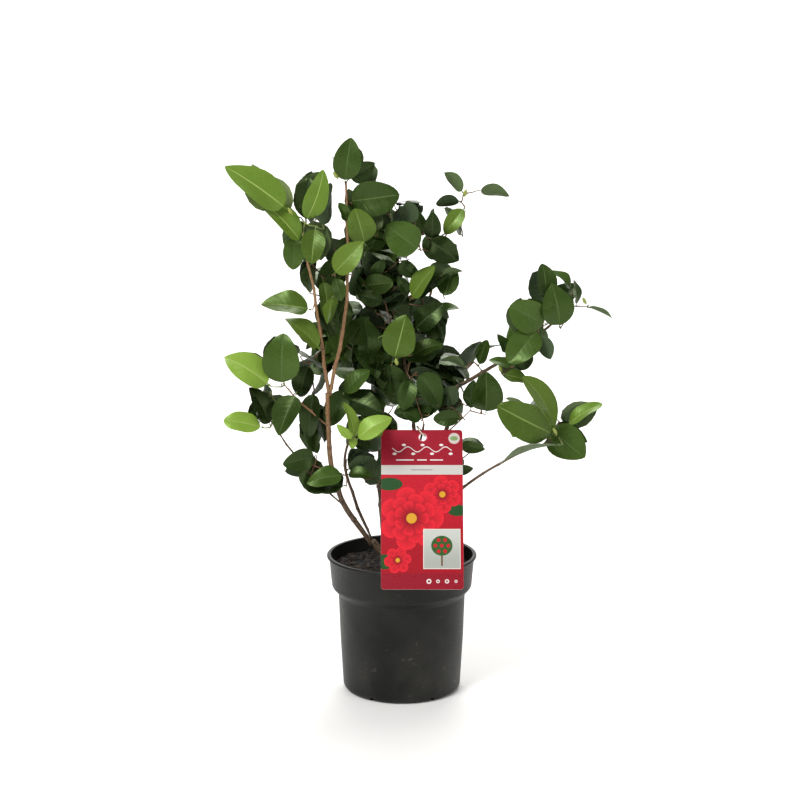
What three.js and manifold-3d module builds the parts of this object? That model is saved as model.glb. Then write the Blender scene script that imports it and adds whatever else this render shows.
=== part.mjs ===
// A young camellia in its nursery pot, with a plant label leaning on the rim.
//
// Millimetres, +Z up. The origin is the centre of the pot's underside and the front is -Y.
// The shrub is a short stump, stems that fork from it, and masses of foliage that the
// stems carry. Every stem and every mass is worked out from one row of named sizes.

import * as THREE from "three";
import { mergeVertices } from "three/addons/utils/BufferGeometryUtils.js";
import Module from "manifold-3d";

const wasm = await Module();
wasm.setup();

// ---------------------------------------------------------------- driving dimensions

const GAP = 0.3; // clearance between pieces that rest against each other
const LEAF_GAP = 0.5; // clearance round a mass of foliage, before its facets are smoothed

const POT = {
  height: 175.5,
  rimRadius: 95,
  lipHeight: 4,
  lipRound: 1,
  collarTopRadius: 92,
  collarFootRadius: 89,
  collarFootHeight: 137,
  shoulderHeight: 123,
  bodyTopRadius: 80.4,
  bodyFootRadius: 75,
  footRound: 8,
  wall: 1.8,
  segments: 24,
};

const DRAINAGE = { count: 6, radius: 70, length: 18, width: 9, height: 5 };

const COMPOST_HEIGHT = 160;

const LABEL = {
  width: 101,
  height: 200,
  thickness: 0.9,
  corner: 4,
  centreX: 25,
  footHeight: 158,
  lean: THREE.MathUtils.degToRad(25.5),
  holeRadius: 4.5,
  holeFromTop: 9.5,
  holeX: 1,
};

const TIE = {
  radius: 8.3,
  thickness: 1.5,
  centre: [24.0, -14, 336.3],
  axis: [0.77, 0, 0.64],
  segments: 16,
  sides: 5,
};

const STEM = { sides: 5, ringSpacing: 42, flare: 0.5, flareLength: 0.25 };

const MASS = {
  uneven: 0.16,
  waves: 2.6,
  facetAllowance: 1.07,
  smallFacetAllowance: 1.18,
  smallSize: 17.5,
  largeSize: 60,
  smoothing: 0.3,
};

const TINTS = {
  pale: 0x7d973f,
  mid: 0x4c6f31,
  dark: 0x24381d,
};

// Stems. A stem leaves another one at the fraction `along` of its length, moved by `shift`.
// `way` is where it passes and ends, counted from its own start. It tapers from the first
// radius to the second, and a stem with `ends` stops where it enters that mass.
const STEMS = {
  trunk: {
    start: [-14, 0, 150],
    way: [[-2, 0, 14], [-13, -4, 30], [-24, -8, 43]],
    radii: [7.5, 6],
    flared: true,
  },
  left_leader: {
    from: "trunk",
    along: 1,
    way: [[-36, -16, 52], [-51, -28, 111], [-52, -38, 198]],
    radii: [4.8, 3.6],
  },
  left_fork: {
    from: "left_leader",
    along: 1,
    way: [[-7, -8, 60], [-16, -14, 130], [-35, -18, 220]],
    radii: [2.9, 1.6],
    ends: "left_top",
  },
  right_fork: {
    from: "left_leader",
    along: 1,
    way: [[16, -4, 60], [25, -2, 136], [22, 8, 258]],
    radii: [3.4, 1.6],
    ends: "top_tip",
  },
  inner_stem: {
    from: "trunk",
    along: 1,
    way: [[-23, 10, 56], [-37, 4, 104], [-17, -30, 162]],
    radii: [3.2, 1.6],
    ends: "star",
  },
  slim_stem: {
    from: "trunk",
    along: 0.6,
    shift: [0, 5, 0],
    way: [[-1, 10, 64], [-14, 6, 120]],
    radii: [2, 1.4],
    ends: "under_star",
  },
  centre_stem: {
    from: "trunk",
    along: 0.5,
    shift: [3, 5, 0],
    way: [[36, 17, 144], [22, 27, 245], [-1, 21, 338]],
    radii: [4, 2],
    ends: "upper_mid",
  },
  label_stem: {
    from: "trunk",
    along: 0.4,
    shift: [6, -1, 0],
    way: [[26, 0, 89], [38, -8, 167], [48, -10, 206]],
    radii: [2.6, 1.6],
    ends: "centre_right_low",
  },
  low_right: {
    from: "trunk",
    along: 0.3,
    shift: [5, -5, 0],
    way: [[89, -11, 101], [154, -19, 144], [209, -21, 166]],
    radii: [2.8, 1.8],
    ends: "right_low_round",
  },
  right_lower: {
    from: "trunk",
    along: 0.35,
    shift: [7, 4, 0],
    way: [[60, 11, 139], [79, 9, 219]],
    radii: [4, 3.4],
  },
  right_outer: {
    from: "right_lower",
    along: 1,
    way: [[46, -8, 29], [99, -16, 68], [147, -14, 109]],
    radii: [3.4, 1.6],
    ends: "far_right_tip",
  },
  upper_right: {
    from: "centre_stem",
    along: 0.69,
    way: [[25, -13, 75], [42, -15, 150], [61, -1, 206]],
    radii: [2.6, 1.4],
    ends: "tip_right",
  },
  left_twig: {
    from: "left_leader",
    along: 0.81,
    way: [[-34, -12, 29], [-58, -21, 62]],
    radii: [1.8, 1.3],
    ends: "left_fan",
  },
  low_left_twig: {
    from: "left_leader",
    along: 0.32,
    way: [[-29, -5, 24], [-65, -17, 75], [-85, -27, 110]],
    radii: [2, 1.3],
    ends: "left_fan_low",
  },
  back_stem: {
    from: "trunk",
    along: 0.45,
    shift: [-3, 6, 0],
    way: [[-5, 80, 133], [11, 106, 274], [-12, 94, 369]],
    radii: [3.8, 1.8],
    ends: "back_top",
  },
};

// Masses of foliage. A mass sits by the fraction `along` of the stem `on`. Each of its lobes
// is [right, back, up, half width, half depth, half height, lean in degrees], the place
// counted from that point of the stem and the lean turning the lobe up at its right.
const MASSES = {
  top_tip: {
    on: "right_fork",
    along: 1,
    tint: "mid",
    lobes: [[6, 0, 23, 20, 18, 23, 10], [24, 4, 7, 16, 14, 16, 0]],
  },
  top_shoulder: {
    on: "right_fork",
    along: 0.86,
    tint: "mid",
    lobes: [[32, 1, 18, 31, 22, 19, -5], [21, -7, -15, 20, 18, 24, 0]],
  },
  left_top: {
    on: "left_fork",
    along: 1,
    tint: "pale",
    lobes: [[-30, 0, 30, 52, 18, 20, -36], [-9, -2, -10, 14, 16, 24, 20]],
  },
  left_upper: {
    on: "left_fork",
    along: 0.94,
    tint: "pale",
    lobes: [[22, 15, 28, 23, 24, 36, 5], [6, 5, -22, 31, 22, 25, 0]],
  },
  left_mid: {
    on: "left_fork",
    along: 0.56,
    tint: "dark",
    lobes: [[11, 38, 32, 22, 26, 35, 0], [18, 42, -22, 18, 26, 40, 0]],
  },
  left_arm: {
    on: "left_fork",
    along: 0.56,
    tint: "mid",
    lobes: [[-33, -1, -5, 32, 15, 12, -5]],
  },
  left_arm_low: {
    on: "left_fork",
    along: 0.36,
    tint: "mid",
    lobes: [[-18, -4, -1, 29, 14, 12, -43]],
  },
  left_fan: {
    on: "left_twig",
    along: 1,
    tint: "pale",
    lobes: [[-36, -3, 13, 29, 20, 19, -20], [5, -1, 26, 24, 20, 30, 10]],
  },
  left_fan_low: {
    on: "low_left_twig",
    along: 1,
    tint: "pale",
    lobes: [
      [-31, -6, 9, 24, 16, 13, -20],
      [-10, 0, 21, 17, 18, 25, -10],
      [21, -8, 11, 22, 18, 30, -20],
    ],
  },
  left_inner: {
    on: "left_leader",
    along: 0.93,
    tint: "dark",
    lobes: [[-20, 14, 32, 18, 24, 27, 0], [-19, 16, -28, 17, 24, 38, 0]],
  },
  low_left: {
    on: "low_left_twig",
    along: 0.39,
    tint: "dark",
    lobes: [[-10, -5, 13, 24, 18, 15, -5], [18, -1, -10, 27, 20, 16, 5]],
  },
  star: {
    on: "inner_stem",
    along: 1,
    tint: "pale",
    lobes: [[6, -14, -2, 33, 24, 26, 10]],
  },
  centre_low: {
    on: "inner_stem",
    along: 1,
    tint: "dark",
    lobes: [[9, 24, 25, 31, 26, 25, 0]],
  },
  under_star: {
    on: "slim_stem",
    along: 0.99,
    tint: "dark",
    lobes: [[-6, -8, -2, 25, 24, 21, -30]],
  },
  centre: {
    on: "centre_stem",
    along: 0.73,
    tint: "dark",
    lobes: [[-42, -20, 21, 34, 36, 48, 0], [-15, -12, -31, 25, 26, 28, 0]],
  },
  centre_front: {
    on: "centre_stem",
    along: 0.84,
    tint: "pale",
    lobes: [[1, -58, -5, 25, 20, 33, 0]],
  },
  centre_right: {
    on: "upper_right",
    along: 0.36,
    tint: "dark",
    lobes: [[1, -21, -16, 24, 30, 41, 0], [26, -21, 6, 16, 10, 9, -10]],
  },
  centre_right_low: {
    on: "label_stem",
    along: 0.98,
    tint: "dark",
    lobes: [[-3, -6, 8, 24, 22, 34, 0], [-29, 2, -10, 16, 18, 11, -15]],
  },
  right_inner: {
    on: "right_lower",
    along: 0.94,
    tint: "dark",
    lobes: [[-1, -19, 12, 21, 20, 16, -25], [-7, -29, -14, 20, 18, 17, 5]],
  },
  upper_centre: {
    on: "right_fork",
    along: 0.56,
    tint: "mid",
    lobes: [[-1, -14, 19, 23, 16, 25, 20], [-18, -8, -18, 17, 16, 44, 0]],
  },
  upper_mid: {
    on: "centre_stem",
    along: 1,
    tint: "dark",
    lobes: [[-6, -12, 11, 40, 36, 37, 0]],
  },
  upper_right_front: {
    on: "upper_right",
    along: 0.74,
    tint: "mid",
    lobes: [[-47, -41, 19, 27, 24, 23, -10]],
  },
  upper_right_dark: {
    on: "upper_right",
    along: 0.74,
    tint: "dark",
    lobes: [[-1, -5, 2, 23, 24, 21, -15]],
  },
  upper_right_back: {
    on: "upper_right",
    along: 0.86,
    tint: "dark",
    lobes: [[-43, 0, 15, 32, 30, 22, -10]],
  },
  tip_right: {
    on: "upper_right",
    along: 1,
    tint: "mid",
    lobes: [[0, 2, 22, 21, 16, 15, -20], [-3, 2, -12, 19, 18, 25, 0], [42, 0, 20, 24, 12, 11, 0]],
  },
  right_mid: {
    on: "upper_right",
    along: 0.56,
    tint: "mid",
    lobes: [[-4, -18, 1, 36, 22, 20, 22]],
  },
  far_right_top: {
    on: "right_outer",
    along: 0.91,
    tint: "dark",
    lobes: [[-31, -10, 42, 15, 14, 20, 0], [-13, -10, 11, 20, 18, 25, 20]],
  },
  far_right_tip: {
    on: "right_outer",
    along: 1,
    tint: "dark",
    lobes: [[-2, 2, 15, 17, 14, 17, 0], [23, 6, -2, 25, 14, 10, -25]],
  },
  right_big: {
    on: "right_outer",
    along: 0.64,
    tint: "mid",
    lobes: [[-18, -9, 16, 21, 18, 36, 0], [8, -3, -6, 16, 14, 15, 0]],
  },
  right_twigs: {
    on: "right_outer",
    along: 0.22,
    tint: "dark",
    lobes: [[0, 2, 25, 20, 16, 19, 20], [-27, 2, 19, 20, 13, 10, -5]],
  },
  right_centre: {
    on: "right_outer",
    along: 0.17,
    tint: "mid",
    lobes: [[8, -18, -19, 20, 16, 26, 0]],
  },
  right_centre_up: {
    on: "right_outer",
    along: 0.39,
    tint: "mid",
    lobes: [[9, -6, -14, 26, 18, 16, -15]],
  },
  right_low_big: {
    on: "low_right",
    along: 0.9,
    tint: "pale",
    lobes: [
      [-24, -19, 45, 32, 20, 27, 20],
      [-4, -13, 56, 17, 18, 35, 15],
      [-12, -11, 12, 37, 16, 15, 10],
    ],
  },
  right_low_round: {
    on: "low_right",
    along: 1,
    tint: "mid",
    lobes: [[8, 8, -9, 24, 16, 23, 0], [26, 18, 26, 25, 14, 14, 38]],
  },
  behind_label: {
    on: "right_lower",
    along: 0.67,
    tint: "dark",
    lobes: [[28, -7, 3, 26, 14, 11, 0], [27, -7, -19, 13, 14, 18, 0]],
  },
  back_top: {
    on: "back_stem",
    along: 1,
    tint: "mid",
    lobes: [[-3, -4, 11, 39, 32, 46, 0]],
  },
  back_mid: {
    on: "back_stem",
    along: 0.75,
    tint: "dark",
    lobes: [[8, 8, 0, 47, 38, 53, 0]],
  },
  back_left: {
    on: "back_stem",
    along: 0.7,
    tint: "mid",
    lobes: [[-65, -23, 5, 43, 38, 47, 0]],
  },
  back_right: {
    on: "back_stem",
    along: 0.64,
    tint: "dark",
    lobes: [[62, -12, -8, 40, 34, 35, 0]],
  },
  back_low: {
    on: "back_stem",
    along: 0.42,
    tint: "dark",
    lobes: [[-11, -5, 4, 36, 32, 30, 0]],
  },
};

// ---------------------------------------------------------------- solids and meshes

// Six times the volume of a closed mesh: positive when its faces look outwards.
function signedVolume(positions, index) {
  const a = new THREE.Vector3();
  const b = new THREE.Vector3();
  const c = new THREE.Vector3();
  let sum = 0;
  for (let i = 0; i < index.length; i += 3) {
    a.fromArray(positions, 3 * index[i]);
    b.fromArray(positions, 3 * index[i + 1]);
    c.fromArray(positions, 3 * index[i + 2]);
    sum += a.dot(b.cross(c));
  }
  return sum;
}

// A closed solid of a closed three.js geometry, with its faces turned outwards.
function toSolid(geometry) {
  const bare = geometry.clone();
  bare.deleteAttribute("normal");
  bare.deleteAttribute("uv");
  const merged = mergeVertices(bare, 1e-4);
  const positions = Float32Array.from(merged.attributes.position.array);
  const triangles = [];
  for (let i = 0; i < merged.index.count; i += 3) {
    const [a, b, c] = merged.index.array.slice(i, i + 3);
    if (a !== b && b !== c && c !== a) {
      triangles.push(a, b, c);
    }
  }
  if (signedVolume(positions, triangles) < 0) {
    triangles.reverse();
  }
  const mesh = { numProp: 3, vertProperties: positions, triVerts: Uint32Array.from(triangles) };
  return new wasm.Manifold(new wasm.Mesh(mesh));
}

// A named mesh of a solid, in the solid's own place.
function toMesh(name, solid, colour, roughness, metalness = 0) {
  const { vertProperties, triVerts } = solid.getMesh();
  const geometry = new THREE.BufferGeometry();
  geometry.setAttribute("position", new THREE.BufferAttribute(vertProperties, 3));
  geometry.setIndex(new THREE.BufferAttribute(triVerts, 1));
  geometry.computeVertexNormals();
  const material = new THREE.MeshStandardMaterial({ color: colour, roughness, metalness });
  const mesh = new THREE.Mesh(geometry, material);
  mesh.name = name;
  return mesh;
}

// What is left of a solid after its neighbours are cut away: its one largest piece.
function carve(solid, cutters) {
  const box = toBox(solid);
  const near = cutters.filter((cutter) => box.intersectsBox(toBox(cutter)));
  const rest = near.reduce((left, cutter) => left.subtract(cutter), solid);
  const pieces = rest.decompose();
  return pieces.reduce((big, piece) => (piece.volume() > big.volume() ? piece : big));
}

function toBox(solid) {
  const { min, max } = solid.boundingBox();
  return new THREE.Box3(new THREE.Vector3(...min), new THREE.Vector3(...max));
}

// A solid of revolution about Z. The profile holds [radius, height] pairs.
function turned(profile) {
  const points = profile.map(([radius, height]) => new THREE.Vector2(radius, height));
  return toSolid(new THREE.LatheGeometry(points, POT.segments).rotateX(Math.PI / 2));
}

// ---------------------------------------------------------------- pot and compost

// One side of the pot's wall from the middle of its floor to under the lip, moved inwards.
function potWall(inset) {
  const wall = [[0, inset]];
  const round = POT.footRound - inset;
  for (let step = 0; step <= 2; step += 1) {
    const angle = (step / 2) * (Math.PI / 2);
    const radius = POT.bodyFootRadius - POT.footRound + round * Math.sin(angle);
    wall.push([radius, POT.footRound - round * Math.cos(angle)]);
  }
  for (let step = 0; step <= 3; step += 1) {
    const blend = (1 - Math.cos((step / 3) * Math.PI)) / 2;
    const radius = THREE.MathUtils.lerp(POT.bodyTopRadius, POT.collarFootRadius, blend);
    const height = THREE.MathUtils.lerp(POT.shoulderHeight, POT.collarFootHeight, step / 3);
    wall.push([radius - inset, height]);
  }
  return wall;
}

// The inner radius of the collar at a height above its foot.
function collarRadius(height) {
  const rise = POT.height - POT.lipHeight - POT.collarFootHeight;
  const share = Math.min(1, (height - POT.collarFootHeight) / rise);
  return THREE.MathUtils.lerp(POT.collarFootRadius, POT.collarTopRadius, share);
}

// The lip's outline, from where it leaves the collar over its top to the inside.
function lipOutline() {
  const under = POT.height - POT.lipHeight;
  return [
    [POT.collarTopRadius, under],
    [POT.rimRadius - POT.lipRound, under],
    [POT.rimRadius, under + POT.lipRound],
    [POT.rimRadius, POT.height - POT.lipRound],
    [POT.rimRadius - POT.lipRound, POT.height],
    [POT.collarTopRadius - POT.wall, POT.height],
  ];
}

function makePot() {
  const inside = potWall(POT.wall).reverse();
  const body = turned([...potWall(0), ...lipOutline(), ...inside]);
  const slots = [];
  for (let i = 0; i < DRAINAGE.count; i += 1) {
    const slot = new THREE.BoxGeometry(DRAINAGE.length, DRAINAGE.width, DRAINAGE.height);
    slot.translate(DRAINAGE.radius, 0, 0);
    slot.rotateZ(((i + 0.5) / DRAINAGE.count) * 2 * Math.PI - Math.PI / 2);
    slots.push(toSolid(slot));
  }
  return toMesh("pot", carve(body, slots), 0x343532, 0.5);
}

function makeCompost() {
  const inset = POT.wall + GAP;
  const rim = collarRadius(COMPOST_HEIGHT) - inset;
  const plug = turned([...potWall(inset), [rim, COMPOST_HEIGHT], [0, COMPOST_HEIGHT]]);
  return toMesh("compost", plug, 0x2a1f19, 0.95);
}

// ---------------------------------------------------------------- label and tie

// How far the label's back face lies along its own normal, so that it rests on the lip.
function labelSeat() {
  const { lean } = LABEL;
  const lip = lipOutline();
  const reach = lip.map(([radius, height]) => radius * Math.cos(lean) + height * Math.sin(lean));
  return Math.max(...reach) + GAP;
}

function roundedCard({ width, height, corner }) {
  const card = new THREE.Shape();
  const right = width / 2;
  card.moveTo(corner - right, 0);
  card.absarc(right - corner, corner, corner, -Math.PI / 2, 0);
  card.absarc(right - corner, height - corner, corner, 0, Math.PI / 2);
  card.absarc(corner - right, height - corner, corner, Math.PI / 2, Math.PI);
  card.absarc(corner - right, corner, corner, Math.PI, 1.5 * Math.PI);
  return card;
}

// The card in its own frame: foot on the X axis, height along Y, back face on Z = 0.
function makeLabel() {
  const card = roundedCard(LABEL);
  const hole = new THREE.Path();
  hole.absarc(LABEL.holeX, LABEL.height - LABEL.holeFromTop, LABEL.holeRadius, 0, 2 * Math.PI);
  card.holes.push(hole);
  const options = { depth: LABEL.thickness, bevelEnabled: false, curveSegments: 3 };
  const plate = toSolid(new THREE.ExtrudeGeometry(card, options));
  return toMesh("label", plate, 0xb01c30, 0.35);
}

// The label's frame: leaned back about X, with its foot at its height in front of the pot.
function placeOnLabel() {
  const frame = new THREE.Group();
  const { lean, centreX, footHeight } = LABEL;
  const front = (labelSeat() - footHeight * Math.sin(lean)) / Math.cos(lean);
  frame.position.set(centreX, -front, footHeight);
  frame.rotation.x = Math.PI / 2 - lean;
  return frame;
}

// A small ring that goes through the label's hole and round the stem behind it.
function makeTie() {
  const tube = TIE.thickness / 2;
  const ring = new THREE.TorusGeometry(TIE.radius, tube, TIE.sides, TIE.segments);
  const tie = toMesh("tie", toSolid(ring), 0xcfc8b4, 0.6);
  const axis = new THREE.Vector3(...TIE.axis).normalize();
  tie.position.set(...TIE.centre);
  tie.quaternion.setFromUnitVectors(new THREE.Vector3(0, 0, 1), axis);
  return tie;
}

// ---------------------------------------------------------------- stems

function startOf(stem) {
  if (stem.start) {
    return new THREE.Vector3(...stem.start);
  }
  const shift = new THREE.Vector3(...(stem.shift ?? [0, 0, 0]));
  return STEMS[stem.from].curve.getPointAt(stem.along).add(shift);
}

function stemCurve(stem) {
  const start = startOf(stem);
  const passes = stem.way.map((step) => start.clone().add(new THREE.Vector3(...step)));
  return new THREE.CatmullRomCurve3([start, ...passes]);
}

function stemRadius(stem, share) {
  const taper = THREE.MathUtils.lerp(stem.radii[0], stem.radii[1], share);
  const flare = stem.flared ? STEM.flare * Math.exp(-share / STEM.flareLength) : 0;
  return taper * (1 + flare);
}

// A tapering limb along the stem's curve: a cylinder whose rings are moved onto it.
function stemSolid(stem, grow = 0) {
  const { curve } = stem;
  const rings = Math.max(3, Math.ceil(curve.getLength() / STEM.ringSpacing));
  const frames = curve.computeFrenetFrames(rings);
  const limb = new THREE.CylinderGeometry(1, 1, 1, STEM.sides, rings);
  const place = limb.attributes.position;
  const point = new THREE.Vector3();
  for (let i = 0; i < place.count; i += 1) {
    const share = place.getY(i) + 0.5;
    const ring = Math.round(share * rings);
    const radius = stemRadius(stem, share) + grow;
    point.copy(curve.getPointAt(share));
    point.addScaledVector(frames.normals[ring], place.getX(i) * radius);
    point.addScaledVector(frames.binormals[ring], place.getZ(i) * radius);
    const end = ring === 0 ? -grow : ring === rings ? grow : 0;
    point.addScaledVector(frames.tangents[ring], end);
    place.setXYZ(i, point.x, point.y, point.z);
  }
  return toSolid(limb);
}

// ---------------------------------------------------------------- masses

// Repeatable random numbers from 0 to 1 for a seed.
function randomFrom(seed) {
  let state = seed >>> 0;
  return () => {
    state = (state + 0x6d2b79f5) >>> 0;
    let t = Math.imul(state ^ (state >>> 15), 1 | state);
    t = (t + Math.imul(t ^ (t >>> 7), 61 | t)) ^ t;
    return ((t ^ (t >>> 14)) >>> 0) / 4294967296;
  };
}

// How much further or less far than an even ellipsoid the lobe reaches in a direction.
function unevenReach(direction, phases) {
  const across = Math.sin(MASS.waves * direction.x + phases[0]);
  const deep = Math.sin(MASS.waves * direction.y + phases[1]);
  const high = Math.sin(MASS.waves * direction.z + phases[2]);
  return (MASS.uneven * (across + deep + high)) / 3;
}

function lobeSolid(centre, lobe, seed, grow) {
  const [right, back, up, across, deep, high, lean] = lobe;
  const random = randomFrom(seed);
  const phases = [0, 1, 2].map(() => 2 * Math.PI * random());
  const size = Math.max(across, deep, high);
  const small = size < MASS.smallSize;
  const detail = small ? 0 : size > MASS.largeSize ? 2 : 1;
  const evenReach = small ? MASS.smallFacetAllowance : MASS.facetAllowance;
  const ball = new THREE.IcosahedronGeometry(1, detail);
  const place = ball.attributes.position;
  const half = new THREE.Vector3(across + grow, deep + grow, high + grow);
  const point = new THREE.Vector3();
  for (let i = 0; i < place.count; i += 1) {
    point.fromBufferAttribute(place, i);
    const reach = evenReach + unevenReach(point, phases);
    point.multiply(half).multiplyScalar(reach);
    place.setXYZ(i, point.x, point.y, point.z);
  }
  ball.rotateY(-THREE.MathUtils.degToRad(lean));
  ball.translate(centre.x + right, centre.y + back, centre.z + up);
  return toSolid(ball);
}

function massSolid(mass, seed, grow = 0) {
  const centre = STEMS[mass.on].curve.getPointAt(mass.along);
  const lobes = mass.lobes.map((lobe, i) => lobeSolid(centre, lobe, seed + i, grow));
  const joined = lobes.reduce((whole, lobe) => whole.add(lobe));
  return joined.asOriginal().simplify(MASS.smoothing);
}

// ---------------------------------------------------------------- the shrub

for (const stem of Object.values(STEMS)) {
  stem.curve = stemCurve(stem);
}

const stemNames = Object.keys(STEMS);
const massNames = Object.keys(MASSES);
const seedOf = (name) => 101 * (massNames.indexOf(name) + 1);
const grownStems = stemNames.map((name) => stemSolid(STEMS[name], LEAF_GAP));
const grownMasses = massNames.map((name) => massSolid(MASSES[name], seedOf(name), LEAF_GAP));

// Each stem gives way to the stems before it and to the mass it ends in.
function makeStem(name) {
  const stem = STEMS[name];
  const cutters = grownStems.slice(0, stemNames.indexOf(name));
  if (stem.ends) {
    cutters.push(grownMasses[massNames.indexOf(stem.ends)]);
  }
  let solid = stemSolid(stem);
  if (!stem.from) {
    solid = solid.trimByPlane([0, 0, 1], COMPOST_HEIGHT + GAP);
  }
  return toMesh(name, carve(solid, cutters), 0x8a6a4c, 0.8);
}

// Each mass gives way to the masses before it and to every stem that runs through it.
function makeMass(name) {
  const mass = MASSES[name];
  const passing = stemNames.filter((stem) => STEMS[stem].ends !== name);
  const cutters = [
    ...grownMasses.slice(0, massNames.indexOf(name)),
    ...passing.map((stem) => grownStems[stemNames.indexOf(stem)]),
  ];
  const carved = carve(massSolid(mass, seedOf(name)), cutters);
  const solid = carved.asOriginal().simplify(MASS.smoothing);
  return toMesh(name, solid, TINTS[mass.tint], 0.55);
}

const camellia = new THREE.Group();
camellia.add(makePot(), makeCompost());
const labelFrame = placeOnLabel();
labelFrame.add(makeLabel());
camellia.add(labelFrame, makeTie());
for (const name of stemNames) {
  camellia.add(makeStem(name));
}
for (const name of massNames) {
  camellia.add(makeMass(name));
}

export default camellia;
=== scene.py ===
# %% [markdown]
# # A young camellia in its nursery pot
# The pot, its label, fifteen stems and forty masses of foliage already exist as plain solids of
# the right size and in the right place. They are the frame. This lesson gives each of them the
# surface of the real thing: moulded plastic, damp compost, a printed card, bark with its leaf
# scars, and some hundreds of separate leathery leaves on twigs of their own.
#
# Everything is in metres. The origin is the middle of the pot's underside, +Z is up, and the
# front of the plant is -Y.

# %% Load the frame
import math
import random

import bmesh
import bpy
import numpy as np
from mathutils import Matrix, Vector, noise
from mathutils.bvhtree import BVHTree


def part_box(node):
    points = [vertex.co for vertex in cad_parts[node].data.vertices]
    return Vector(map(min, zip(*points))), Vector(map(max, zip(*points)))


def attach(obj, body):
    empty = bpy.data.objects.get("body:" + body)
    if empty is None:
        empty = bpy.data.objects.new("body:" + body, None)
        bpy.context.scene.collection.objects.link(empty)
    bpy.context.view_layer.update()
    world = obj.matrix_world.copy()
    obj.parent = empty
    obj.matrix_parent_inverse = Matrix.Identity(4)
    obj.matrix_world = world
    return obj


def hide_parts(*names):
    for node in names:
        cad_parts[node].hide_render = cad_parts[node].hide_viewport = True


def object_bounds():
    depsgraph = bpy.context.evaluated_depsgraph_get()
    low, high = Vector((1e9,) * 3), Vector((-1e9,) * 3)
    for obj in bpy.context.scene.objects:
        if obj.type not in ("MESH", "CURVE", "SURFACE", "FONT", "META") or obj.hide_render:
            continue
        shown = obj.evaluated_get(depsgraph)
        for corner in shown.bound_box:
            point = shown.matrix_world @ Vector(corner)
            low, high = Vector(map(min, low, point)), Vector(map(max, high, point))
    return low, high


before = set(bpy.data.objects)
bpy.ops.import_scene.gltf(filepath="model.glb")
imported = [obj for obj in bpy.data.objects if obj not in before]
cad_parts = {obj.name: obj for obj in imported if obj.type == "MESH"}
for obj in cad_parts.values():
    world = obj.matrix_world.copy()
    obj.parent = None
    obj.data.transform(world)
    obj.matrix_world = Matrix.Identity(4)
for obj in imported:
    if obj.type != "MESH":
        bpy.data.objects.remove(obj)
cad_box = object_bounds()
MM = 0.001
RIGHT = Vector((1, 0, 0))


def corners_of(box):
    """A box's two corners to the nearest millimetre, for printing."""
    return [tuple(round(x, 3) for x in corner) for corner in box]


print("frame's box", corners_of(cad_box))

# %% [markdown]
# ## Camera
# A long lens from a good two metres away keeps the pot's sides nearly parallel. The camera looks
# down a little, so the rim of the pot shows as a flat ellipse with some compost inside it.

# %% Place the camera
CAMERA_PLACE = (-0.0022, -2.2, 0.785)
LOOKS_DOWN = math.radians(10.6)
LENS = 80.55
camera = bpy.data.objects.new("camera", bpy.data.cameras.new("camera"))
bpy.context.scene.collection.objects.link(camera)
camera.location = CAMERA_PLACE
camera.rotation_euler = (math.radians(90) - LOOKS_DOWN, 0, 0)
camera.data.lens = LENS
bpy.context.scene.camera = camera
print("camera", f"{-CAMERA_PLACE[1]:.1f} m in front, {CAMERA_PLACE[2]:.2f} m up")

# %% [markdown]
# ## Room and light
# A nursery plant is shown on plain white with light from all round. A white world gives that
# even light. A broad panel high on the left front puts the soft sheen on the leaves, a weaker one
# fills the right, and a third from behind lifts the edges of the crown off the background. A fourth
# lights only the backdrop, so that it stays near white.

# %% Build the room
WORLD_LIGHT = 0.42


def area_light(name, place, aim, size, power):
    """A round panel of light, aimed at a place: its size in metres and its power in watts."""
    light = bpy.data.lights.new(name, "AREA")
    light.shape, light.size, light.energy = "DISK", size, power
    lamp = bpy.data.objects.new(name, light)
    bpy.context.scene.collection.objects.link(lamp)
    lamp.location = place
    lamp.rotation_euler = (Vector(aim) - Vector(place)).to_track_quat("-Z", "Y").to_euler()


crown = (cad_box[0] + cad_box[1]) / 2
area_light("key", (-1.3, -1.7, 2.2), crown, 1.3, 62)
area_light("fill", (1.7, -1.3, 1.1), crown, 1.2, 8)
area_light("top", (0.2, 0.9, 2.3), crown, 1.2, 24)
area_light("backdrop", (0, 2.2, 2.6), (0, 3.4, 0.7), 2.0, 60)

world = bpy.data.worlds.new("studio")
world.use_nodes = True
background = world.node_tree.nodes["Background"]
background.inputs["Color"].default_value = (1, 1, 1, 1)
background.inputs["Strength"].default_value = WORLD_LIGHT
bpy.context.scene.world = world
bpy.context.scene.view_settings.view_transform = "Standard"
bpy.context.scene.view_settings.look = "None"
print("room: world light", WORLD_LIGHT, "and", len(bpy.data.lights), "lamps")

# %% [markdown]
# ## Small helpers for materials
# A material here is one Principled shader, fed by a few nodes. `add` makes a node, fills its
# sockets with numbers or with other nodes' outputs, and returns it. `mix` and `calc` are the two
# kinds of node used most.

# %% Helpers for shader nodes
def paint(code):
    """The linear colour of a six-figure colour code."""
    shares = [int(code[i : i + 2], 16) / 255 for i in (0, 2, 4)]
    return (*[((s + 0.055) / 1.055) ** 2.4 if s > 0.04045 else s / 12.92 for s in shares], 1)


def add(tree, kind, sockets=(), **settings):
    """A new node with its settings made, and each socket given a number or another node's output."""
    node = tree.nodes.new("ShaderNode" + kind)
    for name, value in settings.items():
        setattr(node, name, value)
    for name, value in dict(sockets).items():
        if isinstance(value, bpy.types.NodeSocket):
            tree.links.new(value, node.inputs[name])
        else:
            node.inputs[name].default_value = value
    return node


def calc(tree, operation, a, b=0.0, c=0.0):
    return add(tree, "Math", {0: a, 1: b, 2: c}, operation=operation).outputs[0]


def mix(tree, share, a, b):
    """Colour a where share is 0 and colour b where it is 1."""
    return add(tree, "Mix", {0: share, 6: a, 7: b}, data_type="RGBA").outputs[2]


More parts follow.
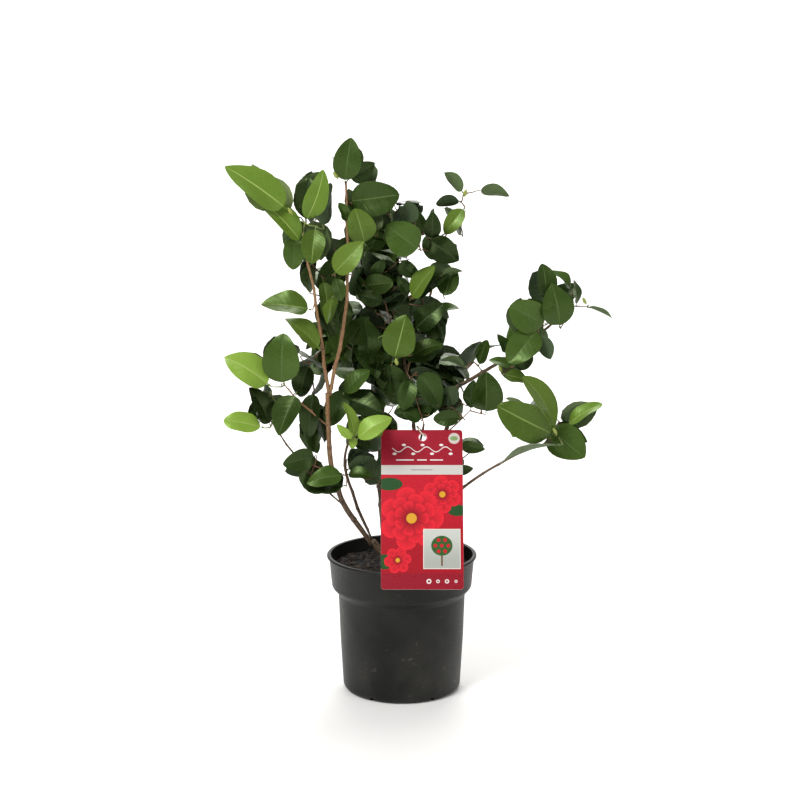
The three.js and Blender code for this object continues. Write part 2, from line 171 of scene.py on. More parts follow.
def ramp(tree, value, low, high, to_low=0.0, to_high=1.0, kind="SMOOTHSTEP"):
    """value, read between low and high and turned into to_low to to_high."""
    sockets = {0: value, 1: low, 2: high, 3: to_low, 4: to_high}
    return add(tree, "MapRange", sockets, interpolation_type=kind).outputs[0]


def object_place(tree):
    return add(tree, "TexCoord").outputs["Object"]


def mottle(tree, scale, detail):
    """Soft noise from 0 to 1 over the piece."""
    sockets = {"Vector": object_place(tree), "Scale": scale, "Detail": detail}
    return add(tree, "TexNoise", sockets).outputs[0]


def new_material(name, colour, roughness, **sockets):
    """A material, its node tree and its shader, with everything that is the same all over."""
    material = bpy.data.materials.new(name)
    material.use_nodes = True
    shader = material.node_tree.nodes["Principled BSDF"]
    shader.inputs["Base Color"].default_value = paint(colour)
    shader.inputs["Roughness"].default_value = roughness
    for socket, value in sockets.items():
        shader.inputs[socket.replace("_", " ")].default_value = value
    material.diffuse_color = paint(colour)
    return material, material.node_tree, shader


# %% [markdown]
# ## Shared surface effects
# Two effects turn up on nearly every surface, so each is a node group. `fine grain` is the small
# unevenness that breaks up a highlight: it gives a value and a normal. `patches` is a soft mask of
# larger stains, dust or faded places.

# %% Node groups for grain and patches
def new_group(name, inputs, outputs):
    """A group's tree, its inputs as outputs to link from, and its outputs as inputs to link to."""
    tree = bpy.data.node_groups.new(name, "ShaderNodeTree")
    for socket, value in inputs.items():
        made = tree.interface.new_socket(name=socket, in_out="INPUT", socket_type="NodeSocketFloat")
        made.default_value = value
    for socket, kind in outputs.items():
        tree.interface.new_socket(name=socket, in_out="OUTPUT", socket_type="NodeSocket" + kind)
    entry = tree.nodes.new("NodeGroupInput")
    result = tree.nodes.new("NodeGroupOutput")
    return tree, entry.outputs, result.inputs


def use_group(tree, group, **sockets):
    return add(tree, "Group", sockets, node_tree=group).outputs


def group_finish(tree, ports, results, height, shine, depth, distance):
    """Ends a group with a bump from height, and a roughness between its inputs Smooth and Rough."""
    lift = add(tree, "Bump", {"Height": height, "Strength": depth, "Distance": distance})
    tree.links.new(lift.outputs[0], results["Normal"])
    rough = ramp(tree, shine, 0.3, 0.7, ports["Smooth"], ports["Rough"], kind="LINEAR")
    tree.links.new(rough, results["Roughness"])


fine_grain, ports, results = new_group(
    "fine grain",
    {"Scale": 400.0, "Depth": 0.3, "Smooth": 0.4, "Rough": 0.6},
    {"Roughness": "Float", "Normal": "Vector"},
)
grain = mottle(fine_grain, ports["Scale"], 3.0)
group_finish(fine_grain, ports, results, grain, grain, ports["Depth"], 0.4 * MM)

patches, ports, results = new_group("patches", {"Scale": 20.0, "From": 0.45, "To": 0.7}, {"Mask": "Float"})
patch = ramp(patches, mottle(patches, ports["Scale"], 6.0), ports["From"], ports["To"], kind="LINEAR")
patches.links.new(patch, results["Mask"])


def give_finish(tree, shader, group, **values):
    """Feeds a shader's roughness and normal from a group that puts out both."""
    finish = use_group(tree, group, **values)
    for socket in ("Roughness", "Normal"):
        tree.links.new(finish[socket], shader.inputs[socket])


def give_colour(tree, shader, colour):
    tree.links.new(colour, shader.inputs["Base Color"])


def stains(tree, scale, low, high):
    """A mask of patches: 0 where their noise is under low and 1 where it is over high."""
    return use_group(tree, patches, Scale=scale, From=low, To=high)["Mask"]


# %% [markdown]
# ## Helpers for pieces
# Each finished piece is one mesh object at the origin, with its place in its mesh, that rides on
# the single body `root` and stands for some of the frame's solids. `rounded` is the bevel that softens
# an edge, and `turned_skin` is the spin that closes a section into a skin: both need every setting
# said, as a script's defaults aren't the editor's.

# %% Helpers for pieces
def show(mesh, name, materials, stands_for=(), smooth=True):
    """Hands a finished mesh over as a piece. smooth=None leaves its shading as it is."""
    for material in materials:
        mesh.materials.append(material)
    if smooth is not None:
        mesh.shade_smooth() if smooth else mesh.shade_flat()
    piece = bpy.data.objects.new(name, mesh)
    bpy.context.scene.collection.objects.link(piece)
    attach(piece, "root")
    if stands_for:
        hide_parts(*stands_for)
    print(f"{name}: {len(mesh.polygons)} faces")
    return piece


def as_mesh(bm, name):
    mesh = bpy.data.meshes.new(name)
    bm.to_mesh(mesh)
    bm.free()
    return mesh


def solid_of(node):
    """A merged copy of a frame solid, as a bmesh."""
    bm = bmesh.new()
    bm.from_mesh(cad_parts[node].data)
    bmesh.ops.remove_doubles(bm, verts=bm.verts, dist=0.01 * MM)
    return bm


def verts_in(items):
    return [item for item in items if isinstance(item, bmesh.types.BMVert)]


def rounded(bm, geom, offset, segments, affect="EDGES"):
    bmesh.ops.bevel(
        bm, geom=geom, offset=offset, affect=affect, segments=segments, profile=0.5, material=-1
    )


def turned_skin(bm, section, middle, axis, steps, merge):
    """Spins a section once round an axis and closes the seam."""
    bmesh.ops.spin(
        bm, geom=section, cent=middle, axis=axis, dvec=(0, 0, 0),
        angle=math.tau, steps=steps, use_merge=True, use_duplicate=False,
    )
    bmesh.ops.remove_doubles(bm, verts=bm.verts, dist=merge)
    bmesh.ops.recalc_face_normals(bm, faces=bm.faces)


# %% [markdown]
# ## Floor
# The floor is a plain pale sheet. Behind the plant it curves up into a wall, so that no line shows
# where one ends and the other begins.

# %% Lay the floor
FLOOR_REACH, FLOOR_BACK, FLOOR_CURVE = 9.0, 2.0, 1.6


def floor_mesh():
    bm = bmesh.new()
    bmesh.ops.create_grid(bm, x_segments=2, y_segments=60, size=FLOOR_REACH)
    for vert in bm.verts:
        along = vert.co.y - FLOOR_BACK
        turn = min(max(along / FLOOR_CURVE, 0), math.pi / 2)
        wall = max(along - FLOOR_CURVE * math.pi / 2, 0)
        vert.co.y = min(vert.co.y, FLOOR_BACK) + FLOOR_CURVE * math.sin(turn)
        vert.co.z = FLOOR_CURVE * (1 - math.cos(turn)) + wall
    return as_mesh(bm, "floor")


floor_paint, floor_tree, floor_shader = new_material("floor_paint", "f8f7f5", 0.7)
give_finish(floor_tree, floor_shader, fine_grain, Scale=90.0, Depth=0.05, Smooth=0.62, Rough=0.78)
floor = bpy.data.objects.new("floor", floor_mesh())
floor.data.shade_smooth()
floor.data.materials.append(floor_paint)
bpy.context.scene.collection.objects.link(floor)

# %% [markdown]
# ## Pot
# A round nursery pot is blown or injection moulded in thin black plastic. It has a body that
# narrows to a rounded foot, a wider collar for stacking and a small rolled lip. It could be cut
# from stacked cylinders, but its true section, turned once round the axis, gives the rounded
# shoulder, the lip and the thin wall in one closed skin.

# %% Turn the pot
pot_low, pot_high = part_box("pot")
RIM = (pot_high.x - pot_low.x) / 2
POT_HEIGHT = pot_high.z
WALL = 1.8 * MM
COLLAR_TOP, COLLAR_FOOT = RIM - 3 * MM, RIM - 6 * MM
BODY_TOP, BODY_FOOT = RIM - 14.6 * MM, RIM - 20 * MM
LIP_DROP, COLLAR_DROP, SHOULDER_DROP = 4 * MM, 38.5 * MM, 52.5 * MM
WAIST_IN, WAIST_DROP = 2 * MM, SHOULDER_DROP + 55 * MM
FOOT_ROUND = 8 * MM
POT_TURNS = 120


def arc(centre, radius, start, end, steps):
    """Points of a circle's arc in the section plane, with its angles in degrees."""
    angles = np.radians(np.linspace(start, end, steps))
    return [(centre[0] + radius * math.cos(a), centre[1] + radius * math.sin(a)) for a in angles]


def shoulder(inset, steps=8):
    """The S-curve from the body out to the collar's foot."""
    points = []
    for step in range(steps + 1):
        blend = (1 - math.cos(step / steps * math.pi)) / 2
        radius = BODY_TOP + (COLLAR_FOOT - BODY_TOP) * blend
        height = POT_HEIGHT - SHOULDER_DROP + (SHOULDER_DROP - COLLAR_DROP) * step / steps
        points.append((radius - inset, height))
    return points


lip_middle = (RIM - LIP_DROP / 2, POT_HEIGHT - LIP_DROP / 2)
foot_middle = (BODY_FOOT - FOOT_ROUND, FOOT_ROUND)
outside = [(0, 0), (BODY_FOOT * 0.5, 0)] + arc(foot_middle, FOOT_ROUND, -90, 0, 7)
outside += [(BODY_TOP - WAIST_IN, POT_HEIGHT - WAIST_DROP)] + shoulder(0)
outside += [(COLLAR_TOP, POT_HEIGHT - LIP_DROP - 1 * MM)]
lip = arc(lip_middle, LIP_DROP / 2, -90, 90, 9) + [(COLLAR_TOP - WALL, POT_HEIGHT - 0.4 * MM)]
inside = [(COLLAR_TOP - WALL, POT_HEIGHT - LIP_DROP)] + shoulder(WALL)[::-1]
inside += arc(foot_middle, FOOT_ROUND - WALL, 0, -90, 5) + [(0, WALL)]


def turned_pot(profile):
    """The pot's skin from its section, given as (radius, height) points."""
    bm = bmesh.new()
    section = [bm.verts.new((radius, 0, height)) for radius, height in profile]
    edges = [bm.edges.new(pair) for pair in zip(section, section[1:])]
    turned_skin(bm, section + edges, (0, 0, 0), (0, 0, 1), POT_TURNS, 0.02 * MM)
    return bm


pot_bm = turned_pot(outside + lip + inside)
print("pot skin volume", round(pot_bm.calc_volume() * 1e6), "ml of plastic")

# %% [markdown]
# Water leaves through slots at the edge of the floor. Each is a rounded slot that also bites into
# the foot, so it shows as a small notch from the side. A boolean cut is the plain way to make a
# hole through two skins at once.

# %% Cut the drainage slots
SLOTS, SLOT_RADIUS, SLOT_ROUND = 6, 70 * MM, 2 * MM
SLOT_LENGTH, SLOT_WIDTH, SLOT_RISE = 18 * MM, 9 * MM, 5 * MM


def slot_cutter():
    bm = bmesh.new()
    for i in range(SLOTS):
        turn = Matrix.Rotation(math.tau * (i + 0.5) / SLOTS - math.pi / 2, 4, "Z")
        place = turn @ Matrix.Translation((SLOT_RADIUS, 0, 0))
        size = Matrix.Diagonal((SLOT_LENGTH, SLOT_WIDTH, 2 * SLOT_RISE, 1))
        cube = bmesh.ops.create_cube(bm, size=1, matrix=place @ size)
        rims = {e for v in cube["verts"] for e in v.link_edges}
        rounded(bm, list(rims), SLOT_ROUND, 3)
    return as_mesh(bm, "slot_cutter")


def cut_slots(piece):
    """Cuts the slots out of the pot for good, and clears the cutter away."""
    cutter = bpy.data.objects.new("slot_cutter", slot_cutter())
    bpy.context.scene.collection.objects.link(cutter)
    cut = piece.modifiers.new("slots", "BOOLEAN")
    cut.object, cut.operation, cut.solver = cutter, "DIFFERENCE", "EXACT"
    bpy.context.view_layer.update()
    made = piece.evaluated_get(bpy.context.evaluated_depsgraph_get())
    mesh = bpy.data.meshes.new_from_object(made)
    piece.modifiers.clear()
    piece.data = mesh
    bpy.data.objects.remove(cutter)


# %% [markdown]
# Black nursery plastic is never quite black. It is a warm charcoal with a soft sheen, dustier
# towards the foot, with faint scuffs that run round the pot where it stood among others.

# %% Finish of the pot
pot_plastic, tree, shader = new_material("pot_plastic", "141413", 0.5, Specular_IOR_Level=0.22)
place = object_place(tree)
height = add(tree, "SeparateXYZ", {0: place}).outputs[2]
low_dust = calc(tree, "MULTIPLY", stains(tree, 14.0, 0.42, 0.72), ramp(tree, height, 0.16, 0.0, 0.35, 1.0))
flat = add(tree, "Mapping", {"Vector": place, "Scale": (60, 60, 900)}).outputs[0]
scratches = add(tree, "TexNoise", {"Vector": flat, "Scale": 1.0, "Detail": 2.0}).outputs[0]
scuffs = calc(tree, "MULTIPLY", ramp(tree, scratches, 0.66, 0.8), stains(tree, 9.0, 0.5, 0.66))
specks = calc(tree, "MULTIPLY", stains(tree, 150.0, 0.62, 0.68), stains(tree, 22.0, 0.52, 0.66))
marks = calc(tree, "MULTIPLY", calc(tree, "MAXIMUM", scuffs, specks), 0.75)
worn = calc(tree, "MINIMUM", calc(tree, "MULTIPLY_ADD", low_dust, 0.35, marks), 1.0)
give_colour(tree, shader, mix(tree, worn, paint("0e0f0d"), paint("4a4842")))
give_finish(tree, shader, fine_grain, Scale=700.0, Depth=0.12, Smooth=0.36, Rough=0.56)

pot = show(as_mesh(pot_bm, "pot_moulded"), "pot_moulded", [pot_plastic], ["pot"])
cut_slots(pot)
pot.data.set_sharp_from_angle(angle=math.radians(40))
print("pot with its slots:", len(pot.data.polygons), "faces")

# %% [markdown]
# ## Compost
# Peat and bark compost settles into soft humps, a little higher round the stems. The bed here is
# a plain disc with a skirt, and noise lifts only its rim. The humps are in the loose crumbs and
# bark chips: they lie at the height that the humps would have, so near the stems they stand a few
# millimetres clear of the disc. Each crumb is a small stone-like shape with few faces, copied and
# squashed many times in arrays.

# %% Heap the compost
COMPOST_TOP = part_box("compost")[1].z
COMPOST_RIM = COLLAR_TOP - WALL - 1 * MM
BED_SKIRT = 12 * MM
HUMP_RISE, MOUND_RISE, MOUND_REACH, EDGE_SINK = 2.4 * MM, 3 * MM, 28 * MM, 2 * MM
stump_low, stump_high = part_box("trunk")
mound_middle = Vector(((stump_low.x + stump_high.x) / 2 + 8 * MM, (stump_low.y + stump_high.y) / 2, 0))


def compost_height(x, y):
    place = Vector((x, y, 0))
    humps = noise.fractal(place * 45, 1.0, 2.0, 4) * HUMP_RISE
    mound = MOUND_RISE * math.exp(-((place - mound_middle).length / MOUND_REACH) ** 2)
    hollow = EDGE_SINK * (math.hypot(x, y) / COMPOST_RIM) ** 6
    return COMPOST_TOP + humps + mound - hollow


def compost_bed():
    bm = bmesh.new()
    bmesh.ops.create_circle(bm, cap_ends=True, segments=96, radius=COMPOST_RIM)
    for v in bm.verts:
        v.co.z = compost_height(v.co.x, v.co.y)
    rim = [e for e in bm.edges if e.is_boundary]
    for v in verts_in(bmesh.ops.extrude_edge_only(bm, edges=rim)["geom"]):
        v.co.z = COMPOST_TOP - BED_SKIRT
    bmesh.ops.holes_fill(bm, edges=[e for e in bm.edges if e.is_boundary], sides=0)
    bmesh.ops.recalc_face_normals(bm, faces=bm.faces)
    return bm


peat, tree, shader = new_material("peat", "1d1510", 0.95)
give_colour(tree, shader, mix(tree, stains(tree, 60.0, 0.4, 0.62), paint("0b0806"), paint("1c140f")))
give_finish(tree, shader, fine_grain, Scale=900.0, Depth=1.0, Smooth=0.75, Rough=1.0)
show(as_mesh(compost_bed(), "compost_bed"), "compost_bed", [peat], ["compost"])

# %% [markdown]
# The same way of working returns for leaves and buds: `shape_of` reads one small shape out of a
# bmesh, arrays copy and place it, and `joined` puts all the copies in one mesh.

# %% Scatter the crumbs
CRUMB_COLOURS = {
    "crumb_dark": "0c0806", "crumb_brown": "1e140c", "bark_chip": "2e2014", "straw_bit": "4f4432",
}
CRUMB_SHARES = (0.5, 0.3, 0.16, 0.04)
BARK_CHIP = 2
CRUMBS = 1500


def shape_of(bm):
    """A small shape's vertices, as an array, and its faces. The bmesh is freed."""
    bm.verts.index_update()
    verts = np.array([v.co for v in bm.verts])
    faces = [[v.index for v in f.verts] for f in bm.faces]
    bm.free()
    return verts, faces


def crumb_shape():
    bm = bmesh.new()
    bmesh.ops.create_icosphere(bm, subdivisions=1, radius=1)
    return shape_of(bm)


def joined(name, parts):
    """One mesh from parts given as (vertices, faces, material number of each face)."""
    verts, faces, paints, base = [], [], [], 0
    for part_verts, part_faces, part_paints in parts:
        verts.append(part_verts)
        faces += [[i + base for i in face] for face in part_faces]
        paints += part_paints
        base += len(part_verts)
    mesh = bpy.data.meshes.new(name)
    mesh.from_pydata(np.concatenate(verts).tolist(), [], faces)
    mesh.polygons.foreach_set("material_index", paints)
    return mesh


def scatter_crumbs():
    draw = random.Random(11)
    shape, faces = crumb_shape()
    parts = []
    for _ in range(CRUMBS):
        kind = draw.choices(range(4), CRUMB_SHARES)[0]
        reach, angle = COMPOST_RIM * math.sqrt(draw.random()) * 0.97, draw.uniform(0, math.tau)
        x, y = reach * math.cos(angle), reach * math.sin(angle)
        size = draw.uniform(0.7, 1.9) * MM * (1.5 if kind == BARK_CHIP else 1)
        stretch = np.array([draw.uniform(0.8, 2.4), draw.uniform(0.6, 1.2), draw.uniform(0.3, 0.7)]) * size
        round_about = Matrix.Rotation(draw.uniform(0, math.tau), 3, "Z")
        turn = np.array(round_about @ Matrix.Rotation(draw.gauss(0, 0.4), 3, "X"))
        uneven = 1 + 0.25 * np.array([draw.uniform(-1, 1) for _ in shape])[:, None]
        place = np.array([x, y, compost_height(x, y) + 0.2 * size])
        parts.append(((shape * uneven * stretch) @ turn.T + place, faces, [kind] * len(faces)))
    return joined("compost_crumbs", parts)


crumb_paints = []
for name, colour in CRUMB_COLOURS.items():
    material, tree, shader = new_material(name, colour, 0.9)
    give_finish(tree, shader, fine_grain, Scale=800.0, Depth=0.6, Smooth=0.75, Rough=1.0)
    crumb_paints.append(material)
show(scatter_crumbs(), "compost_crumbs", crumb_paints, smooth=False)

# %% [markdown]
# ## Label
# A plant label is one stiff printed card with rounded corners and a punched hole. It leans on the
# pot's lip. The card's own plane is read from the frame's solid, so the artwork can be drawn flat,
# in millimetres from the middle of its foot, and then stood in place.

# %% Cut the card
HOLE_RADIUS, HOLE_RIGHT, HOLE_DOWN = 4.5 * MM, 1 * MM, 9.5 * MM
CARD_CORNER, CARD_EDGE = 4 * MM, 0.15 * MM


def card_plane():
    """A matrix that stands a flat card in place, and the card's width, height and thickness."""
    bm = solid_of("label")
    large = [f for f in bm.faces if f.normal.y < -0.5]
    front = max(large, key=lambda f: f.calc_area()).normal.copy()
    up = front.cross(RIGHT)
    spread = [[v.co.dot(axis) for v in bm.verts] for axis in (RIGHT, up, front)]
    bm.free()
    lows, highs = [min(s) for s in spread], [max(s) for s in spread]
    foot = RIGHT * (lows[0] + highs[0]) / 2 + up * lows[1] + front * lows[2]
    stand = Matrix((RIGHT, up, front)).transposed().to_4x4()
    return Matrix.Translation(foot) @ stand, *[high - low for low, high in zip(lows, highs)]


card_stand, CARD_WIDTH, CARD_HEIGHT, CARD_THICK = card_plane()
print(f"card {CARD_WIDTH / MM:.0f} x {CARD_HEIGHT / MM:.0f} mm")


def card_mesh():
    bm = bmesh.new()
    size = Matrix.Diagonal((CARD_WIDTH / 2, CARD_HEIGHT / 2, 1, 1))
    middle = Matrix.Translation((0, CARD_HEIGHT / 2, 0))
    bmesh.ops.create_grid(bm, x_segments=1, y_segments=1, size=1, matrix=middle @ size)
    rounded(bm, bm.verts[:], CARD_CORNER, 6, affect="VERTICES")
    bmesh.ops.delete(bm, geom=bm.faces[:], context="FACES_ONLY")
    hole = Matrix.Translation((HOLE_RIGHT, CARD_HEIGHT - HOLE_DOWN, 0))
    bmesh.ops.create_circle(bm, segments=32, radius=HOLE_RADIUS, matrix=hole)
    bmesh.ops.triangle_fill(bm, use_beauty=True, edges=bm.edges[:], normal=(0, 0, 1))
    lifted = bmesh.ops.extrude_face_region(bm, geom=bm.faces[:])["geom"]
    bmesh.ops.translate(bm, verts=verts_in(lifted), vec=(0, 0, CARD_THICK))
    bmesh.ops.recalc_face_normals(bm, faces=bm.faces)
    rounded(bm, [e for e in bm.edges if e.calc_face_angle(0) > 1], CARD_EDGE, 2)
    flat = bm.loops.layers.uv.new("card")
    for f in bm.faces:
        f.material_index = 0 if f.normal.z > 0.5 else 1
        for loop in f.loops:
            loop[flat].uv = (loop.vert.co.x / CARD_WIDTH + 0.5, loop.vert.co.y / CARD_HEIGHT)
    bm.transform(card_stand)
    return as_mesh(bm, "label_card")


# %% [markdown]
# The print is crimson above and below, with a pale strip and a red picture between them. It is
# drawn with masks: each is 1 inside its shape and 0 outside, worked out from the place on the card.
# A flower is rings of petals. One ring is a circle whose edge swells in as many lobes as it has
# petals, so it is one node group, used again and again, smaller and turned each time.

# %% Node group for a ring of petals
petal_ring, ports, results = new_group(
    "petal ring",
    {"Across": 0.0, "Up": 0.0, "Petals": 5.0, "Reach": 20.0, "Turn": 0.0},
    {"Mask": "Float", "Shade": "Float"},
)
square = [calc(petal_ring, "MULTIPLY", ports[side], ports[side]) for side in ("Across", "Up")]
distance = calc(petal_ring, "SQRT", calc(petal_ring, "ADD", *square))
angle = calc(petal_ring, "ADD", calc(petal_ring, "ARCTAN2", ports["Up"], ports["Across"]), ports["Turn"])
half_petals = calc(petal_ring, "MULTIPLY", ports["Petals"], 0.5)
beat = calc(petal_ring, "COSINE", calc(petal_ring, "MULTIPLY", angle, half_petals))
lobe = calc(petal_ring, "ABSOLUTE", beat)
swell = calc(petal_ring, "MULTIPLY_ADD", calc(petal_ring, "POWER", lobe, 0.6), 0.26, 0.74)
petal_edge = calc(petal_ring, "MULTIPLY", ports["Reach"], swell)
depth_in = calc(petal_ring, "SUBTRACT", petal_edge, distance)
out_share = calc(petal_ring, "DIVIDE", distance, petal_edge)
crease = ramp(petal_ring, lobe, 0.0, 0.5, 0.45, 1.0)
petal_shade = calc(petal_ring, "MULTIPLY", calc(petal_ring, "POWER", out_share, 1.4), crease)
petal_ring.links.new(ramp(petal_ring, depth_in, 0.0, 0.5), results["Mask"])
petal_ring.links.new(petal_shade, results["Shade"])

# %% [markdown]
# The rest of the print needs only discs and bars. Each takes the place on the card as two values,
# millimetres across and up, and puts out a mask with a softened edge.

# %% Masks for the print
def card_axes(tree):
    """Millimetres right of the card's middle and up from its foot."""
    sides = add(tree, "SeparateXYZ", {0: add(tree, "UVMap", uv_map="card").outputs[0]}).outputs
    across = calc(tree, "MULTIPLY", calc(tree, "SUBTRACT", sides[0], 0.5), CARD_WIDTH / MM)
    return across, calc(tree, "MULTIPLY", sides[1], CARD_HEIGHT / MM)


def disc(tree, axes, centre, radius, squash=1.0):
    """A round spot. squash below 1 makes it a lying oval."""
    sides = [calc(tree, "SUBTRACT", axis, middle) for axis, middle in zip(axes, centre)]
    sides[1] = calc(tree, "DIVIDE", sides[1], squash)
    square = [calc(tree, "MULTIPLY", side, side) for side in sides]
    distance = calc(tree, "SQRT", calc(tree, "ADD", *square))
    return ramp(tree, distance, radius + 0.3, radius - 0.3)


def bar(tree, axes, centre, half):
    """A rectangle, with half its width and height given."""
    inside = []
    for axis, middle, reach in zip(axes, centre, half):
        away = calc(tree, "ABSOLUTE", calc(tree, "SUBTRACT", axis, middle))
        inside.append(ramp(tree, away, reach + 0.15, reach - 0.15))
    return calc(tree, "MULTIPLY", *inside)


def flower(tree, under, axes, centre, reach, petals, turn):
    """Rings of petals drawn over a colour, each ring smaller and turned, round a yellow heart."""
    sides = [calc(tree, "SUBTRACT", axis, middle) for axis, middle in zip(axes, centre)]
    for ring, share in enumerate((1.0, 0.78, 0.55)):
        drawn = use_group(
            tree, petal_ring, Across=sides[0], Up=sides[1], Petals=petals, Reach=reach * share,
            Turn=turn + ring * math.pi / petals,
        )
        petal = mix(tree, drawn["Shade"], paint("6a0412"), paint("de1f30"))
        under = mix(tree, drawn["Mask"], under, petal)
    heart = disc(tree, axes, centre, reach * 0.16)
    return mix(tree, heart, under, paint("d19a2a"))


# %% [markdown]
# The picture is painted from the back to the front, as a sign painter would: a ground, three
# leaves, three flowers, and an inset with a clipped tree on a stem, hung with seven round blooms.

# %% Print the picture
print_front, tree, shader = new_material("print_front", "a0142a", 0.34, Specular_IOR_Level=0.3)
axes = across, up_card = card_axes(tree)
picture = mix(tree, ramp(tree, up_card, 30, 130), paint("9c0a1d"), paint("b81226"))
for centre, reach, squash in (((-40, 131), 16, 0.5), ((-46, 34), 13, 0.7), ((43, 98), 12, 0.6)):
    picture = mix(tree, disc(tree, axes, centre, reach, squash), picture, paint("21481f"))
picture = flower(tree, picture, axes, (25, 118), 24, 6, 0.4)
picture = flower(tree, picture, axes, (-13, 88), 40, 7, 0.0)
picture = flower(tree, picture, axes, (-30, 36), 17, 6, 0.9)

INSET_MIDDLE, INSET_WIDE, INSET_HIGH, INSET_BORDER = (24, 50), 22, 24, 0.8
TREE_MIDDLE, TREE_REACH, BLOOMS_OUT, BLOOM_REACH = (24, 54), 13, 8, 2.3
border = bar(tree, axes, INSET_MIDDLE, (INSET_WIDE + INSET_BORDER, INSET_HIGH + INSET_BORDER))
picture = mix(tree, border, picture, paint("dedad2"))
sky = mix(tree, ramp(tree, up_card, 30, 74), paint("a3a69e"), paint("bfc2ba"))
sky = mix(tree, bar(tree, axes, (TREE_MIDDLE[0], 37), (1.1, 8)), sky, paint("6b5136"))
sky = mix(tree, disc(tree, axes, TREE_MIDDLE, TREE_REACH, 0.95), sky, paint("2f5626"))
for bloom in range(7):
    turn = bloom * math.tau / 6
    reach = BLOOMS_OUT if bloom else 0
    centre = (TREE_MIDDLE[0] + reach * math.cos(turn), TREE_MIDDLE[1] + reach * math.sin(turn))
    sky = mix(tree, disc(tree, axes, centre, BLOOM_REACH), sky, paint("bf1626"))
picture = mix(tree, bar(tree, axes, INSET_MIDDLE, (INSET_WIDE, INSET_HIGH)), picture, sky)

# %% [markdown]
# Above and below the picture lie flat bands. The header carries a vine with leaves in turn above
# and under its wave, plain bars where a card would have words, and a round badge. Four plain rings
# sit in the foot band.

# %% Print the bands
HEADER_FOOT, STRIP_FOOT, BAND_TOP, BAND_BLEND = 155, 143, 20, 0.2
VINE_UP, VINE_HALF, VINE_WAVE, VINE_LEAVES = 175, (37, 9), 3.2, 7
BADGE_MIDDLE = (40, 189)


def above(height):
    return ramp(tree, up_card, height - BAND_BLEND, height + BAND_BLEND)


colour = mix(tree, above(BAND_TOP), paint("8c0e22"), picture)
colour = mix(tree, above(STRIP_FOOT), colour, paint("c4c1bb"))
colour = mix(tree, above(HEADER_FOOT), colour, paint("960f26"))

white = paint("e2dcd8")
wave = calc(tree, "MULTIPLY", calc(tree, "SINE", calc(tree, "MULTIPLY", across, 0.27)), VINE_WAVE)
from_vine = calc(tree, "ABSOLUTE", calc(tree, "SUBTRACT", calc(tree, "SUBTRACT", up_card, VINE_UP), wave))
vine = calc(tree, "MULTIPLY", ramp(tree, from_vine, 0.75, 0.45), bar(tree, axes, (0, VINE_UP), VINE_HALF))
colour = mix(tree, vine, colour, white)
for leaf in range(VINE_LEAVES):
    side = 1 if leaf % 2 else -1
    colour = mix(tree, disc(tree, axes, (-34 + leaf * 11.6, VINE_UP + side * 5.6), 2.5, 0.62), colour, white)
for right, reach in ((-21, 11), (0, 6), (18, 8)):
    colour = mix(tree, bar(tree, axes, (right, 161.5), (reach, 0.7)), colour, white)
colour = mix(tree, bar(tree, axes, (0, 149), (13, 0.6)), colour, paint("8f8a86"))
colour = mix(tree, disc(tree, axes, BADGE_MIDDLE, 7), colour, paint("c9bdb8"))
colour = mix(tree, disc(tree, axes, BADGE_MIDDLE, 4.8, 0.6), colour, paint("7d9a62"))
for ring, reach in enumerate((3.0, 2.2, 2.6, 1.8)):
    centre = (8 + ring * 11, 10)
    colour = mix(tree, disc(tree, axes, centre, reach), colour, white)
    colour = mix(tree, disc(tree, axes, centre, reach * 0.5), colour, paint("8c0e22"))
hole_middle = (HOLE_RIGHT / MM, (CARD_HEIGHT - HOLE_DOWN) / MM)
colour = mix(tree, disc(tree, axes, hole_middle, HOLE_RADIUS / MM + 1.2), colour, paint("c96a74"))
give_colour(tree, shader, colour)
give_finish(tree, shader, fine_grain, Scale=500.0, Depth=0.05, Smooth=0.26, Rough=0.36)

# %% Show the card
card_stock, tree, shader = new_material("card_stock", "e9e6e0", 0.5)
give_colour(tree, shader, mix(tree, stains(tree, 25.0, 0.35, 0.75), paint("ece9e3"), paint("d6d1c8")))
give_finish(tree, shader, fine_grain, Scale=900.0, Depth=0.1, Smooth=0.42, Rough=0.58)
show(card_mesh(), "label_card", [print_front, card_stock], ["label"], smooth=False)

# %% [markdown]
# ## Tie
# A soft pale loop goes through the card's hole and round the stem behind it. The frame holds it as
# a coarse ring. The ring's middle, axis and reach come from that solid, and a small circle spun
# round the axis makes the smooth loop.

# %% Spin the tie
def ring_of(node):
    """The middle, axis, ring radius and half thickness of a ring-shaped solid."""
    bm = solid_of(node)
    points = np.array([v.co for v in bm.verts])
    bm.free()
    middle = points.mean(0)
    axis = np.linalg.svd(points - middle)[2][2]
    along = (points - middle) @ axis
    away = np.linalg.norm(points - middle - np.outer(along, axis), axis=1)
    return Vector(middle), Vector(axis), (away.max() + away.min()) / 2, np.abs(along).max()


def tie_loop():
    middle, axis, reach, half = ring_of("tie")
    side = axis.orthogonal().normalized()
    section = Matrix((side, axis, side.cross(axis))).transposed().to_4x4()
    bm = bmesh.new()
    place = Matrix.Translation(middle + side * reach) @ section
    bmesh.ops.create_circle(bm, segments=12, radius=half, matrix=place)
    turned_skin(bm, bm.verts[:] + bm.edges[:], middle, axis, 56, 0.01 * MM)
    return as_mesh(bm, "tie_loop")


soft_tie, tree, shader = new_material("soft_tie", "cfc6ae", 0.6)
give_finish(tree, shader, fine_grain, Scale=1200.0, Depth=0.25, Smooth=0.5, Rough=0.7)
show(tie_loop(), "tie_loop", [soft_tie], ["tie"])
